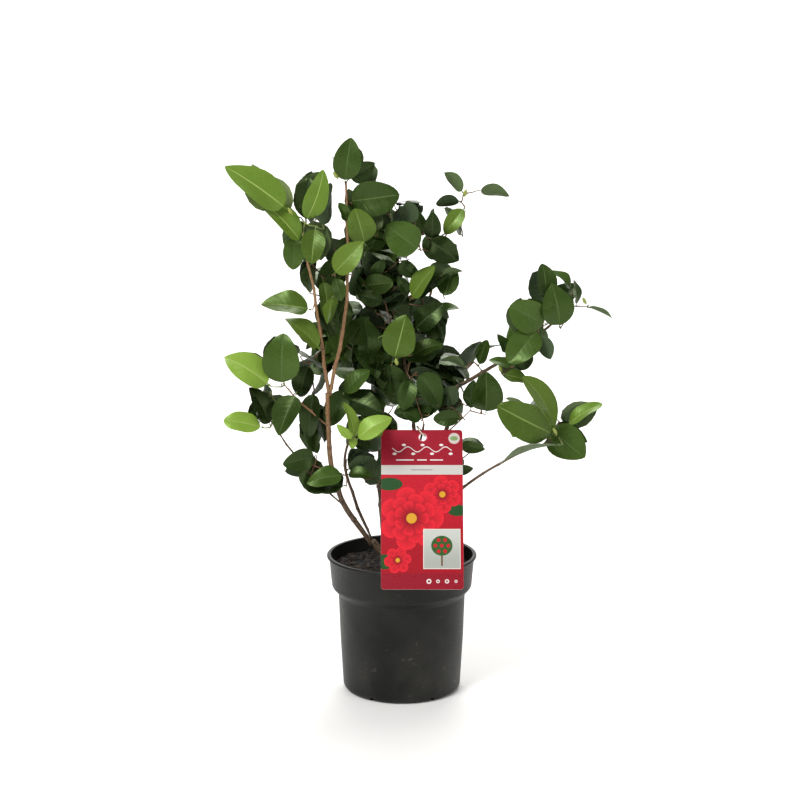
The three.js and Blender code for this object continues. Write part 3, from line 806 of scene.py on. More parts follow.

# %% [markdown]
# ## Trunk and stems
# Young camellia wood is smooth, orange-brown higher up and grey-brown below, with a slight swelling and a
# scar wherever a leaf has dropped. Only the stems that stand in the light get the orange-brown, as painted
# light, and the stems inside the crown keep the grey-brown as painted shade. The frame's stems are coarse
# five-sided
# limbs, so each is sliced across its own length: the middle of each slice gives the line to
# follow, and its reach the thickness. A ring is then extruded step by step along that line.

# %% Read the stems' lines
STEMS = (
    "trunk", "left_leader", "left_fork", "right_fork", "inner_stem", "slim_stem", "centre_stem",
    "label_stem", "low_right", "right_lower", "right_outer", "upper_right", "left_twig", "low_left_twig",
    "back_stem",
)
SLICE_EVERY, SLICE_FROM_END = 9 * MM, 1.2 * MM
SOLID_TO_BARK = 0.82
LINE_SPACING = 2.5 * MM


def distances_along(rows):
    """How far along its line each row of (x, y, z, ...) lies."""
    return np.r_[0, np.cumsum(np.linalg.norm(np.diff(rows[:, :3], axis=0), axis=1))]


def ways_along(points):
    """The direction of a line at each of its points."""
    ways = np.gradient(points, axis=0)
    return ways / np.linalg.norm(ways, axis=1)[:, None]


def farthest_pair(points):
    """The two ends of a long solid, the lower one first."""
    start = points[np.argmin(points[:, 2])]
    start = points[np.argmax(np.linalg.norm(points - start, axis=1))]
    end = points[np.argmax(np.linalg.norm(points - start, axis=1))]
    return (start, end) if start[2] < end[2] else (end, start)


def slice_limb(node):
    """Rows of (x, y, z, radius) from the lower end of a limb to its upper one."""
    bm = solid_of(node)
    low, high = farthest_pair(np.array([v.co for v in bm.verts]))
    chord = high - low
    length = np.linalg.norm(chord)
    count = max(4, round(length / SLICE_EVERY))
    rows, corners = [], []
    for step in range(count + 1):
        at = low + chord * np.clip(step / count, SLICE_FROM_END / length, 1 - SLICE_FROM_END / length)
        part = bm.copy()
        everything = part.verts[:] + part.edges[:] + part.faces[:]
        cut = bmesh.ops.bisect_plane(part, geom=everything, plane_co=at, plane_no=chord / length)
        ring = np.array([v.co for v in verts_in(cut["geom_cut"])])
        part.free()
        if len(ring) > 2:
            rows.append(ring.mean(0))
            corners.append(ring)
    bm.free()
    rows = np.array(rows)
    radii = []
    for middle, way, ring in zip(rows, ways_along(rows), corners):
        away = ring - middle
        away -= np.outer(away @ way, way)
        radii.append(np.linalg.norm(away, axis=1).mean() * SOLID_TO_BARK)
    return np.column_stack([rows, radii])


def smoothed(rows, spacing):
    """The same rows at an even spacing, with their corners rounded and their ends kept."""
    lengths = distances_along(rows)
    stations = np.linspace(0, lengths[-1], max(3, round(lengths[-1] / spacing) + 1))
    fine = np.column_stack([np.interp(stations, lengths, column) for column in rows.T])
    reach = min(8, len(fine) // 3)
    window = np.ones(2 * reach + 1) / (2 * reach + 1)
    for _ in range(2):
        padded = np.pad(fine, ((reach, reach), (0, 0)), mode="reflect", reflect_type="odd")
        fine = np.column_stack([np.convolve(column, window, "valid") for column in padded.T])
    return fine


lines = {name: smoothed(slice_limb(name), LINE_SPACING) for name in STEMS}
for name, line in lines.items():
    foot, tip = line[[0, -1], 3] / MM
    print(f"{name}: {distances_along(line)[-1] / MM:.0f} mm long, radius {foot:.1f} to {tip:.1f} mm")

# %% [markdown]
# A limb starts as one ring of vertices. Each step extrudes it, and its place along the limb and
# its number round it travel with the vertices, so relief and streaks can be worked out from them:
# shallow ridges that run lengthwise, a swelling at every old leaf scar, and a slight zigzag,
# because each bud turns the stem a little.

# %% Grow a limb
def turning_frames(points):
    """The way along a line at each point, and a side direction that turns as little as it can."""
    ways = ways_along(points)
    side = np.array(Vector(ways[0]).orthogonal().normalized())
    sides = []
    for way in ways:
        side = side - way * (side @ way)
        side /= np.linalg.norm(side)
        sides.append(side)
    return ways, np.array(sides)


def layer(layers, name):
    return layers.get(name) or layers.new(name)


def next_ring(bm, edges):
    """Extrudes an open edge loop in place: the new vertices, edges and faces."""
    made = bmesh.ops.extrude_edge_only(bm, edges=edges)["geom"]
    ring = verts_in(made)
    fresh = set(ring)
    rim = [item for item in made if isinstance(item, bmesh.types.BMEdge) and set(item.verts) <= fresh]
    return ring, rim, [item for item in made if isinstance(item, bmesh.types.BMFace)]


def grow_limb(bm, line, spokes, relief=None, paint_number=0, lit_share=0.0):
    """Extrudes a ring along rows of (x, y, z, radius). relief(turn, row) gives swelling and scar."""
    lit_share_of, scar_of = layer(bm.verts.layers.float, "lit_stem"), layer(bm.verts.layers.float, "scar")
    spoke_of, streaks = layer(bm.verts.layers.int, "spoke"), layer(bm.loops.layers.uv, "streaks")
    ways, sides = turning_frames(line[:, :3])
    lengths = distances_along(line)
    ring = bmesh.ops.create_circle(bm, segments=spokes, radius=1, cap_ends=False)["verts"]
    for number, vert in enumerate(ring):
        vert[spoke_of] = number
    edges = list({edge for vert in ring for edge in vert.link_edges})
    ends, made_faces = [edges], []
    for row, (way, side) in enumerate(zip(ways, sides)):
        if row:
            ring, edges, faces = next_ring(bm, edges)
            made_faces += [(face, row) for face in faces]
        across = np.cross(way, side)
        for vert in ring:
            turn = math.tau * vert[spoke_of] / spokes
            swell, scar = relief(turn, row) if relief else (1.0, 0.0)
            reach = line[row, 3] * swell
            vert.co = line[row, :3] + (side * math.cos(turn) + across * math.sin(turn)) * reach
            vert[scar_of] = scar
            # Each vertex carries whether its limb stands lit, for the bark's painted light and shade.
            vert[lit_share_of] = lit_share
    ends.append(edges)
    for face, row in made_faces:
        face.material_index = paint_number
        numbers = [loop.vert[spoke_of] for loop in face.loops]
        part_way = 0.3 * (lengths[row] - lengths[row - 1])
        for loop, number in zip(face.loops, numbers):
            share = number + spokes if number == 0 and max(numbers) == spokes - 1 else number
            along = (loop.vert.co - Vector(line[row - 1, :3])).dot(Vector(ways[row - 1]))
            loop[streaks].uv = (share / spokes, lengths[row if along > part_way else row - 1])
    for loose in ends:
        for face in bmesh.ops.holes_fill(bm, edges=loose)["faces"]:
            face.material_index = paint_number


# %% [markdown]
# Old leaf scars sit two or three centimetres apart, each turned by the golden angle from the one
# before, as leaves grow. The swelling and the scar are bell curves along the limb, strongest on the
# side that carried the leaf. Noise adds the unevenness between them.

# %% Relief of the bark
KNOT_REACH, SCAR_REACH, SCAR_ABOVE = 1.8 * MM, 1.1 * MM, 1.2 * MM
ZIGZAG_OUT = 0.7 * MM
FLARE, FLARE_REACH = 0.3, 3.5 * MM
ROOTED = 4 * MM
GOLDEN_ANGLE = math.radians(137.5)


def knots_along(line, draw):
    """Where the old leaf scars sit: rows of (distance along, turn round)."""
    length = distances_along(line)[-1]
    knots, at, turn = [], draw.uniform(8, 16) * MM, draw.uniform(0, math.tau)
    while at < length - 4 * MM:
        knots.append((at, turn))
        at += draw.uniform(17, 32) * MM
        turn += GOLDEN_ANGLE + draw.gauss(0, 0.2)
    return knots


def zigzag(line, knots, sides, ways):
    """The line pushed a little away from each knot's bud, straight from knot to knot."""
    if len(knots) < 2:
        return line
    lengths = distances_along(line)
    stations = [at for at, _ in knots]
    pushes = []
    for at, turn in knots:
        row = np.searchsorted(lengths, at)
        across = np.cross(ways[row], sides[row])
        pushes.append((sides[row] * math.cos(turn) + across * math.sin(turn)) * ZIGZAG_OUT)
    moved = line.copy()
    for axis in range(3):
        moved[:, axis] += np.interp(lengths, stations, [push[axis] for push in pushes])
    return moved


def bark_relief(line, knots, seed):
    """A limb's own relief: how much it swells at a place on it, and how much of a scar is there."""
    lengths = distances_along(line)
    shift = Vector((seed * 7.3, seed * 3.1, 0))

    def relief(turn, row):
        along = lengths[row]
        place = Vector((math.cos(turn) * 1.6, math.sin(turn) * 1.6, along / (16 * MM)))
        swell = 1 + 0.08 * noise.noise(place + shift) + 0.03 * noise.noise(place * 3.1 + shift)
        scar = 0.0
        for at, side in knots:
            near = math.exp(-(((along - at) / KNOT_REACH) ** 2))
            facing = 0.5 + 0.5 * math.cos(turn - side)
            swell += near * (0.1 + 0.22 * facing**2)
            scar = max(scar, math.exp(-(((along - at - SCAR_ABOVE) / SCAR_REACH) ** 2)) * facing)
        return swell + FLARE * math.exp(-along / FLARE_REACH), scar

    return relief


# %% Join the bark
# Stems that stand in the light: higher up their bark is painted a lighter orange-brown as painted light, and
# all other stems keep a grey-brown as painted shade.
STEMS_IN_LIGHT = ("left_leader", "left_fork", "right_fork", "upper_right", "left_twig")


def bark_mesh():
    """All the limbs. Every one but the stump starts a little way inside what carries it."""
    draw = random.Random(5)
    bm = bmesh.new()
    for seed, (name, line) in enumerate(lines.items()):
        if name != "trunk":
            root_way = line[0, :3] - line[2, :3]
            root_way /= np.linalg.norm(root_way)
            rooted = np.r_[line[0, :3] + root_way * ROOTED, line[0, 3]]
            line = np.vstack([rooted, line])
        knots = knots_along(line, draw) if name != "trunk" else []
        line = zigzag(line, knots, *turning_frames(line[:, :3])[::-1])
        grow_limb(bm, line, 14, bark_relief(line, knots, seed), lit_share=float(name in STEMS_IN_LIGHT))
        lines[name] = line
    bmesh.ops.recalc_face_normals(bm, faces=bm.faces)
    return as_mesh(bm, "bark")


# %% [markdown]
# The bark's colour follows the wood's age, and the light. Low down all stems are grey-brown. Higher up the
# leaders that stand in the light turn orange-brown, which is painted light, while the stems in the crown's
# shade stay grey-brown, which is painted shade; a value that each limb carries says which ones are lit. Fine
# streaks run along every limb, and the scars are darker.

# %% Colour the bark
bark, tree, shader = new_material("bark", "8a6242", 0.7)
height = add(tree, "SeparateXYZ", {0: object_place(tree)}).outputs[2]
blotches = stains(tree, 60.0, 0.3, 0.7)
higher = ramp(tree, calc(tree, "MULTIPLY_ADD", blotches, 0.07, height), 0.29, 0.42)
# Painted light and shade: higher up only the lit stems turn orange-brown, and the shaded ones stay nearly as
# dark as old wood.
lit_stem = add(tree, "Attribute", attribute_name="lit_stem").outputs["Fac"]
young_and_lit = calc(tree, "MULTIPLY", higher, calc(tree, "MULTIPLY_ADD", lit_stem, 0.85, 0.12))
young = mix(tree, blotches, paint("8f6c42"), paint("775234"))
old = mix(tree, blotches, paint("43382d"), paint("2b251e"))
wood = mix(tree, calc(tree, "SUBTRACT", 1.0, young_and_lit), young, old)
along = add(tree, "Mapping", {0: add(tree, "UVMap", uv_map="streaks").outputs[0], "Scale": (22, 160, 1)})
streak = add(tree, "TexNoise", {"Vector": along.outputs[0], "Scale": 1.0, "Detail": 4.0}).outputs[0]
wood = mix(tree, ramp(tree, streak, 0.42, 0.6, 0.0, 0.4), wood, paint("a07c58"))
wood = mix(tree, ramp(tree, streak, 0.5, 0.34, 0.0, 0.6), wood, paint("4a3226"))
scar = add(tree, "Attribute", attribute_name="scar").outputs["Fac"]
wood = mix(tree, ramp(tree, scar, 0.25, 0.8, 0.0, 0.8), wood, paint("3b2a20"))
give_colour(tree, shader, wood)
tree.links.new(ramp(tree, streak, 0.3, 0.7, 0.82, 0.55), shader.inputs["Roughness"])
ridges = add(tree, "Bump", {"Height": streak, "Strength": 0.5, "Distance": 0.4 * MM})
tree.links.new(ridges.outputs[0], shader.inputs["Normal"])
show(bark_mesh(), "bark", [bark], STEMS)

# %% [markdown]
# ## Leaves
# A camellia leaf is an oval with a short stalk and a drawn-out point. It is stiff and leathery:
# glossy above, pale and dull beneath, folded a little along a light midrib, and arched from
# stalk to tip. Two flat patterns are made once: one for the leaves that lead a spray, and a
# plainer one for the many that fill it. A leaf is then a copy of its pattern, bent and set in place.

# %% Leaf patterns
STALK_SHARE = 0.09
TOP_COLUMNS = (-1, -0.5, -0.04, 0.04, 0.5, 1)
UNDER_COLUMNS = (-1, -0.5, 0, 0.5, 1)
LEADING_ROWS = (0, 0.05, 0.09, 0.12, 0.18, 0.26, 0.36, 0.46, 0.56, 0.66, 0.76, 0.85, 0.92, 0.97, 1)
FILLING_ROWS = (0, 0.09, 0.15, 0.28, 0.45, 0.62, 0.78, 0.91, 1)


def leaf_sheet(bm, columns, rows, under):
    """A flat grid of a leaf's own rows and columns. The margins lie at 0, the underside at -1."""
    spans = (len(columns) - 1, len(rows) - 1)
    verts = bmesh.ops.create_grid(bm, x_segments=spans[0], y_segments=spans[1], size=1)["verts"]
    for vert in verts:
        column = round((vert.co.x + 1) / 2 * spans[0])
        row = round((vert.co.y + 1) / 2 * spans[1])
        ends = row in (0, spans[1])
        margin = column in (0, spans[0])
        vert.co = (0 if ends else columns[column], rows[row], -1 if under and not (ends or margin) else 0)
    faces = list({face for vert in verts for face in vert.link_faces})
    for face in faces:
        rib = not under and max(abs(vert.co.x) for vert in face.verts) < 0.1
        face.material_index = 2 if under else int(rib)
    if under:
        bmesh.ops.reverse_faces(bm, faces=faces)


def leaf_pattern(rows):
    """A leaf pattern's vertices (across, along, under), faces, and each face's part of the leaf."""
    bm = bmesh.new()
    leaf_sheet(bm, TOP_COLUMNS, rows, False)
    leaf_sheet(bm, UNDER_COLUMNS, rows, True)
    bmesh.ops.remove_doubles(bm, verts=bm.verts, dist=0.001)
    parts = [face.material_index for face in bm.faces]
    return *shape_of(bm), parts


LEADING, FILLING = leaf_pattern(LEADING_ROWS), leaf_pattern(FILLING_ROWS)
print("faces in a leading leaf", len(LEADING[1]), "and in a filling one", len(FILLING[1]))


# %% [markdown]
# Each leaf has its own share of every bend: how its width swells along it, a fold along the rib,
# curled edges, an arch, a dip at the tip, a sway to the side, a twist, and a wavy margin. They are
# drawn once, when the leaf is set, so that no two leaves are alike.

# %% Bend a leaf into place
STALK_HALF, STALK_THICK, BLADE_THICK = 0.9 * MM, 1.6 * MM, 0.4 * MM


def unit(vector):
    return vector / max(np.linalg.norm(vector), 1e-9)


def blade_reach(share, low, high):
    """Half the blade's width along its length, as a share of the widest."""
    peak = low / (low + high)
    return (share / peak) ** low * ((1 - share) / (1 - peak)) ** high


def leaf_points(shape, leaf):
    """A pattern's points, bent and set in place."""
    across, along, under = shape.T
    stalk = along <= STALK_SHARE
    blade = np.clip((along - STALK_SHARE) / (1 - STALK_SHARE), 0, 1)
    reach = leaf["width"] / 2 * blade_reach(blade, leaf["low"], leaf["high"])
    reach = np.maximum(reach, np.where(stalk, STALK_HALF, 0))
    twist = leaf["twist"] * blade
    side = np.cross(leaf["way"], leaf["face"])
    sides = np.outer(np.cos(twist), side) + np.outer(np.sin(twist), leaf["face"])
    faces = np.outer(np.cos(twist), leaf["face"]) - np.outer(np.sin(twist), side)
    fold = leaf["fold"] * np.sin(math.pi * blade) ** 0.5
    out = across * reach * np.cos(fold)
    rise = np.abs(across) * reach * np.sin(fold) - leaf["curl"] * reach * np.abs(across) ** 3
    rise += leaf["wave"] * np.sin(blade * leaf["waves"] + leaf["phase"] * np.sign(across)) * across**2
    rise += under * np.where(stalk, STALK_THICK, BLADE_THICK)
    arch = leaf["arch"] * 4 * along * (1 - along) - leaf["dip"] * along**3
    line = np.outer(along * leaf["length"], leaf["way"]) + np.outer(arch * leaf["length"], leaf["face"])
    line += np.outer(leaf["sway"] * leaf["length"] * along**2, side)
    return leaf["base"] + line + sides * out[:, None] + faces * rise[:, None]


def new_leaf(base, way, face, length, tint, draw, broad):
    """A leaf's base, direction and facing, and its own share of every bend."""
    way = unit(way)
    face = unit(face - way * (face @ way))
    return {
        "base": base, "way": way, "face": face, "length": length, "tint": tint,
        "width": length * broad * draw.uniform(0.9, 1.08),
        "low": draw.uniform(0.5, 0.62), "high": draw.uniform(0.62, 0.9),
        "fold": draw.uniform(0.1, 0.34), "curl": draw.uniform(0.0, 0.16),
        "arch": draw.uniform(0.02, 0.07), "dip": draw.uniform(0.0, 0.12),
        "sway": draw.uniform(-0.06, 0.06), "twist": draw.uniform(-0.3, 0.3),
        "wave": draw.uniform(0.006, 0.026) * length, "waves": draw.uniform(7, 13),
        "phase": draw.uniform(0, 6), "shade": draw.randrange(3),
    }


# %% [markdown]
# ## Sprays
# Most leaves are left to a rule, but some decide how the plant looks from the front: the long
# pale pair at the upper left, the round one at the very top, the bright young shoot low in the
# middle. These leading leaves are given by spray: how far the leaf's foot is right of the
# spray's middle and above it, in millimetres, where it points on a clock face, its length, how far
# it is turned about its length (0 faces the front, 180 shows its underside), its tint, and for some
# how broad it is beside its length. They are listed from front to back.

# %% Choose the tints and the leading leaves
PALE_SPRAYS = (
    "left_top", "left_upper", "left_fan", "left_fan_low", "star", "centre_front", "right_low_big",
)
DARK_SPRAYS = (
    "left_mid", "left_inner", "low_left", "centre_low", "under_star", "centre", "centre_right",
    "centre_right_low", "right_inner", "upper_mid", "upper_right_dark", "upper_right_back",
    "far_right_top", "far_right_tip", "right_twigs", "behind_label", "back_mid", "back_right", "back_low",
)
MID_SPRAYS = (
    "top_tip", "top_shoulder", "left_arm", "left_arm_low", "upper_centre", "upper_right_front",
    "tip_right", "right_mid", "right_big", "right_centre", "right_centre_up", "right_low_round",
    "back_top", "back_left",
)
SPRAYS_OF = {"pale": PALE_SPRAYS, "fresh": (), "mid": MID_SPRAYS, "dark": DARK_SPRAYS}
SPRAYS = {name: tint for tint, names in SPRAYS_OF.items() for name in names}
SPARSE_SPRAYS = (
    "left_top", "left_arm", "left_arm_low", "left_fan", "left_fan_low", "star", "top_tip", "tip_right",
    "far_right_tip", "right_low_big", "right_low_round", "centre_front", "behind_label",
)
FILLING_TINTS = {
    "centre_front": "fresh", "right_low_big": "fresh",
    "left_upper": "mid", "left_fan": "mid", "left_fan_low": "mid",
}
# Leaves inside a spray, in its shade, take a darker green than its skin: painted shade.
SHADE_PAINTED_TINTS = {"pale": "mid", "mid": "dark", "dark": "dark"}

LEADING_LEAVES = {
    "top_tip": [(-14, -23, 0.2, 55, 0, "mid"), (-10, -18, 2, 38, 0, "dark")],
    "top_shoulder": [
        (-9, -40, 11.6, 47, 15, "fresh", 0.74), (-30, -12, 11.25, 26, 35, "mid"),
        (-31, 12, 2.7, 64, 0, "mid", 0.72),
    ],
    "left_top": [(20, -10, 10.25, 92, 25, "pale", 0.44), (36, -50, 10.7, 76, 50, "pale", 0.5)],
    "left_upper": [
        (10, -10, 6.25, 43, 0, "fresh", 0.7), (-3, -6, 0.75, 67, -30, "pale", 0.52),
        (-15, -19, 6.1, 44, 0, "mid"), (20, -14, 0.25, 56, 135, "dark"), (-2, -7, 0.25, 54, 25, "dark"),
    ],
    "left_mid": [
        (-4, 15, 5.75, 56, 35, "fresh", 0.5), (10, 50, 2.25, 30, 0, "dark"),
        (-18, 32, 6.25, 36, 25, "dark"), (-10, -15, 5, 44, 25, "dark"),
        (20, 38, 7.2, 48, 15, "mid"), (25, -12, 6.8, 50, 10, "dark", 0.7),
    ],
    "left_inner": [(2, 20, 6.2, 60, 15, "dark", 0.5), (-4, 52, 6.6, 44, 10, "dark", 0.7)],
    "right_inner": [(10, -16, 8.9, 36, 0, "dark")],
    "left_arm": [(30, -14, 9.25, 63, 50, "fresh")],
    "left_arm_low": [(18, -24, 10.5, 58, 50, "fresh")],
    "left_fan": [(7, -35, 10.25, 66, 35, "pale"), (20, -36, 0, 66, 0, "mid", 0.7)],
    "left_fan_low": [
        (-3, -21, 9.5, 50, 45, "pale"), (37, 22, 6.75, 56, 25, "mid"), (5, -21, 11.25, 55, 45, "dark"),
    ],
    "low_left": [(40, 0, 8.75, 48, 45, "mid"), (5, 23, 8.75, 42, 0, "dark")],
    "behind_label": [
        (-7, 17, 3.3, 34, 0, "dark", 0.5), (-14, -16, 3, 26, 0, "dark", 0.6), (-16, 2, 11, 30, 0, "dark"),
    ],
    "star": [
        (-8, -17, 1.75, 52, 45, "pale", 0.56), (-10, -16, 10.25, 27, 0, "pale", 0.5),
        (-9, -16, 11.5, 46, 50, "pale", 0.5), (-10, -14, 6.25, 16, 0, "pale"),
    ],
    "under_star": [(-26, -15, 3, 35, 50, "mid"), (-26, -10, 2.25, 38, 140, "dark")],
    "centre_low": [
        (-26, 6, 1.5, 45, 35, "mid"), (-26, 0, 3.5, 53, 25, "dark"), (-21, 12, 7, 52, 10, "dark"),
    ],
    "centre": [(-14, -6, 0, 53, 25, "dark"), (7, 70, 9.5, 34, 0, "dark"), (-41, 14, 1.25, 46, 25, "mid")],
    "centre_front": [(-5, -24, 0.5, 60, 0, "fresh", 0.8)],
    "centre_right": [
        (-26, -32, 2.25, 43, 50, "mid"), (-23, -2, 1.5, 51, 20, "dark"), (0, 20, 2.5, 34, 55, "mid"),
    ],
    "centre_right_low": [
        (-3, 34, 4.75, 54, 30, "dark"), (5, -28, 9.75, 38, 45, "dark"), (-10, 25, 6.5, 40, 0, "dark"),
    ],
    "upper_centre": [
        (-8, 12, 5.5, 30, 20, "mid"), (-11, 13, 1.5, 55, 20, "fresh"), (-10, -13, 6.5, 34, 60, "fresh"),
    ],
    "upper_mid": [(-22, -7, 2.75, 38, 0, "mid"), (-10, 2, 1, 28, 0, "dark"), (22, 22, 4.25, 34, 0, "dark")],
    "upper_right_front": [(22, -17, 10.2, 52, 5, "mid", 0.9), (15, 15, 11.25, 30, 180, "dark")],
    "upper_right_dark": [(-14, 12, 4.25, 46, 0, "dark", 0.74)],
    "upper_right_back": [
        (23, -28, 0, 36, 0, "dark"), (1, -6, 10.5, 28, 180, "dark"), (13, -19, 11.25, 30, 0, "dark"),
    ],
    "tip_right": [
        (-10, -1, 7.25, 41, 20, "fresh"), (-12, 16, 10.5, 35, 150, "mid"), (6, 19, 3.25, 40, 140, "mid"),
        (-14, 4, 9, 32, 135, "dark"),
    ],
    "right_mid": [
        (-28, -23, 1.25, 52, 45, "fresh"), (9, 7, 2.5, 28, 135, "mid"), (-24, -22, 1.75, 55, 45, "dark"),
        (-30, -20, 11.25, 28, 20, "dark"),
    ],
    "far_right_top": [(11, -45, 11.7, 58, 15, "mid", 0.68), (-8, -10, 11.9, 46, 30, "mid")],
    "far_right_tip": [
        (-14, -12, 11.75, 33, 60, "mid"), (-1, -13, 3.75, 36, 105, "mid"), (-19, 7, 10.5, 36, 60, "mid"),
    ],
    "right_big": [
        (12, 1, 7.3, 55, 10, "mid", 0.66), (22, 4, 9.9, 53, 0, "mid", 0.74), (10, -8, 5, 35, 160, "dark"),
        (-26, -33, 11.25, 28, 40, "dark"), (24, 13, 10.5, 34, 0, "dark"),
    ],
    "right_twigs": [
        (6, -16, 0.5, 36, 40, "mid"), (-9, -18, 9.75, 34, 125, "mid"), (-3, -12, 1.75, 44, 105, "mid"),
    ],
    "right_centre": [(1, -27, 0, 55, 0, "mid", 0.74), (-19, -22, 0.25, 39, 40, "dark")],
    "right_centre_up": [
        (-12, -4, 3.5, 34, 40, "fresh"), (0, 5, 9.75, 30, 50, "mid"), (3, 2, 1.75, 28, 0, "dark"),
    ],
    "right_low_big": [
        (31, -28, 10, 82, 0, "fresh"), (39, -38, 8.5, 81, 105, "mid"),
        (32, -27, 11.1, 84, 62, "fresh", 0.55),
    ],
    "right_low_round": [(-30, 5, 4.4, 57, 0, "mid", 0.86), (-8, 6, 1.75, 52, 55, "pale", 0.5)],
}
print(len(SPRAYS), "sprays and", sum(len(leaves) for leaves in LEADING_LEAVES.values()), "leading leaves")


# %% [markdown]
# The rule for the rest starts at the nearest point of a limb. Twigs run from there to the spray's
# leading leaves, or, where it has none, a shoot runs to the middle of its solid and on along it.
# Leaves are then tried one by one. Each try starts at a joint of the twigs or a little way off, and
# points at a bare place on the solid's skin. The try that hides most bare skin while it stays
# inside the solid is kept, and a twig is grown to its foot. A spray is full when little of its skin
# is bare, so the crown closes from every side, and its gaps stay open where the solids leave them.
#
# The two kinds of room are the share of a solid, in cubic metres, that one more twig or one more
# leaf in its shade stands for.

# %% Read a spray's solid
SKIN_SPACING = 7 * MM
LEAF_COVERS = 10 * MM
TWIG_ROOM, LEAF_ROOM = 22e-6, 20e-6


def spray_facts(node, draw):
    """Even points on a spray's skin with their outward directions, its middle, and its measures."""
    bm = solid_of(node)
    bmesh.ops.triangulate(bm, faces=bm.faces)
    corners = np.array([[vert.co[:] for vert in face.verts] for face in bm.faces])
    tree = BVHTree.FromBMesh(bm)
    volume = bm.calc_volume()
    bm.free()
    first, second = corners[:, 1] - corners[:, 0], corners[:, 2] - corners[:, 0]
    normals = np.cross(first, second)
    areas = np.linalg.norm(normals, axis=1) / 2
    count = max(30, round(areas.sum() / SKIN_SPACING**2))
    chosen = draw.choices(range(len(areas)), areas.tolist(), k=count)
    shares = np.array([(draw.random(), draw.random()) for _ in chosen])
    shares = np.where(shares.sum(1, keepdims=True) > 1, 1 - shares, shares)
    skin = corners[chosen, 0] + first[chosen] * shares[:, :1] + second[chosen] * shares[:, 1:]
    points = corners.reshape(-1, 3)
    return {
        "skin": skin, "out": normals[chosen] / (2 * areas[chosen, None]), "tree": tree,
        "middle": (points.min(0) + points.max(0)) / 2, "long": np.linalg.svd(points - points.mean(0))[2][0],
        "reach": np.ptp(points, axis=0).max() / 2, "depth": np.ptp(points[:, 1]), "volume": volume,
    }


def depth_inside(tree, point):
    """How far a point is inside a closed skin; less than nothing when it is outside."""
    near, normal, _, distance = tree.find_nearest(point)
    return distance if (Vector(point) - near).dot(normal) < 0 else -distance


# %% [markdown]
# Twigs grow as they are needed. Every point of a twig is a joint that the next one may leave from,
# so the branching comes of itself. Each twig remembers where it left and how far along it carries
# leaves, and only that much is drawn. Nothing may hide a leading leaf, so twigs pass behind them.

# %% Grow twigs
limb_points = np.vstack([line[3:-1] for name, line in lines.items() if name != "trunk"])
MAIN_TWIG, SIDE_TWIG, TWIG_TAPER = 1.5 * MM, 1.0 * MM, 0.35
TWIG_STEP, SHORTEST_TWIG = 6 * MM, 1.5 * MM
PASS_BEHIND, BEHIND_ROOM, SHOOT_ROOM = 3 * MM, 12 * MM, 14 * MM
FAR_IN_FRONT = -1


def front_gaps(points):
    """How far each point is from each point of the leading leaves, seen from the front."""
    return np.linalg.norm(points[:, None, [0, 2]] - leader_points[None, :, [0, 2]], axis=2)


def behind_leaders(points, room=BEHIND_ROOM):
    """How far back each point has to be, so that it doesn't show in front of a leading leaf."""
    near = front_gaps(points) < room
    return np.where(near, leader_points[None, :, 1] + PASS_BEHIND, FAR_IN_FRONT).max(1)


def places_of(joints):
    return np.array([joint[0] for joint in joints])


def grow_twig(joints, target, thick, twigs, draw):
    """A slightly bent twig from the nearest joint to a target. Its points become joints too."""
    known = places_of(joints)
    first = int(np.argmin(np.linalg.norm(known - target, axis=1)))
    start = known[first]
    span = target - start
    length = np.linalg.norm(span)
    if length < SHORTEST_TWIG:
        return first
    steps = max(2, round(length / TWIG_STEP))
    bend = np.array([draw.gauss(0, 0.05), draw.gauss(0, 0.05), draw.gauss(-0.04, 0.04)]) * length
    shares = np.linspace(0, 1, steps + 1)[:, None]
    line = start + span * shares + bend * 4 * shares * (1 - shares)
    line[1:-1, 1] = np.maximum(line[1:-1, 1], behind_leaders(line[1:-1]))
    rows = np.hstack([line, thick * (1 - TWIG_TAPER * shares)])
    twigs.append({"rows": rows, "from": joints[first][1:], "used": 0})
    joints.extend((point, len(twigs) - 1, place + 1) for place, point in enumerate(line[1:]))
    return len(joints) - 1


def carry(joints, twigs, joint):
    """Marks the twigs that carry a leaf at a joint, as far along as they are needed."""
    twig, place = joints[joint][1:]
    while twig >= 0:
        twigs[twig]["used"] = max(twigs[twig]["used"], place)
        twig, place = twigs[twig]["from"]


# %% [markdown]
# A leading leaf is set straight from its row in the table. It nods a little towards the front, and
# each is a few millimetres behind the one before. All of a leaf's cover is judged from a dozen
# points spread over its blade.

# %% Set a leading leaf
LEADERS_FORWARD = 0.14
LEADERS_APART = 4
LEADER_FOLD, LEADER_BROAD, FILLER_BROAD = 0.14, 0.64, 0.68


def facing_front(way, turned):
    """A facing square to the leaf's way, turned about it from the front towards the sky."""
    front = unit(np.array((0, -1, 0)) - way * -way[1])
    up = np.cross(way, front)
    up = -up if up[2] < 0 else up
    return front * math.cos(turned) + up * math.sin(turned)


def lead_spray(facts, rows, draw):
    """The leading leaves of a spray, each a little behind the one before."""
    leaves = []
    middle = (len(rows) - 1) / 2
    for place, (right, up, clock, length, turned, tint, *broad) in enumerate(rows):
        nod = draw.uniform(0, 0.4) if turned < 30 else draw.uniform(-0.1, 0.15)
        deep = LEADERS_APART * (place - middle) + length * nod * 0.4 - facts["depth"] / MM * LEADERS_FORWARD
        base = facts["middle"] + np.array((right, deep, up)) * MM
        angle = clock / 12 * math.tau
        way = np.array((math.sin(angle), -nod, math.cos(angle)))
        face = facing_front(unit(way), math.radians(turned))
        reach = length * MM * math.sqrt(1 + nod * nod)
        leaf = new_leaf(base, way, face, reach, tint, draw, *(broad or [LEADER_BROAD]))
        leaf["fold"] += LEADER_FOLD
        leaves.append(leaf)
    return leaves


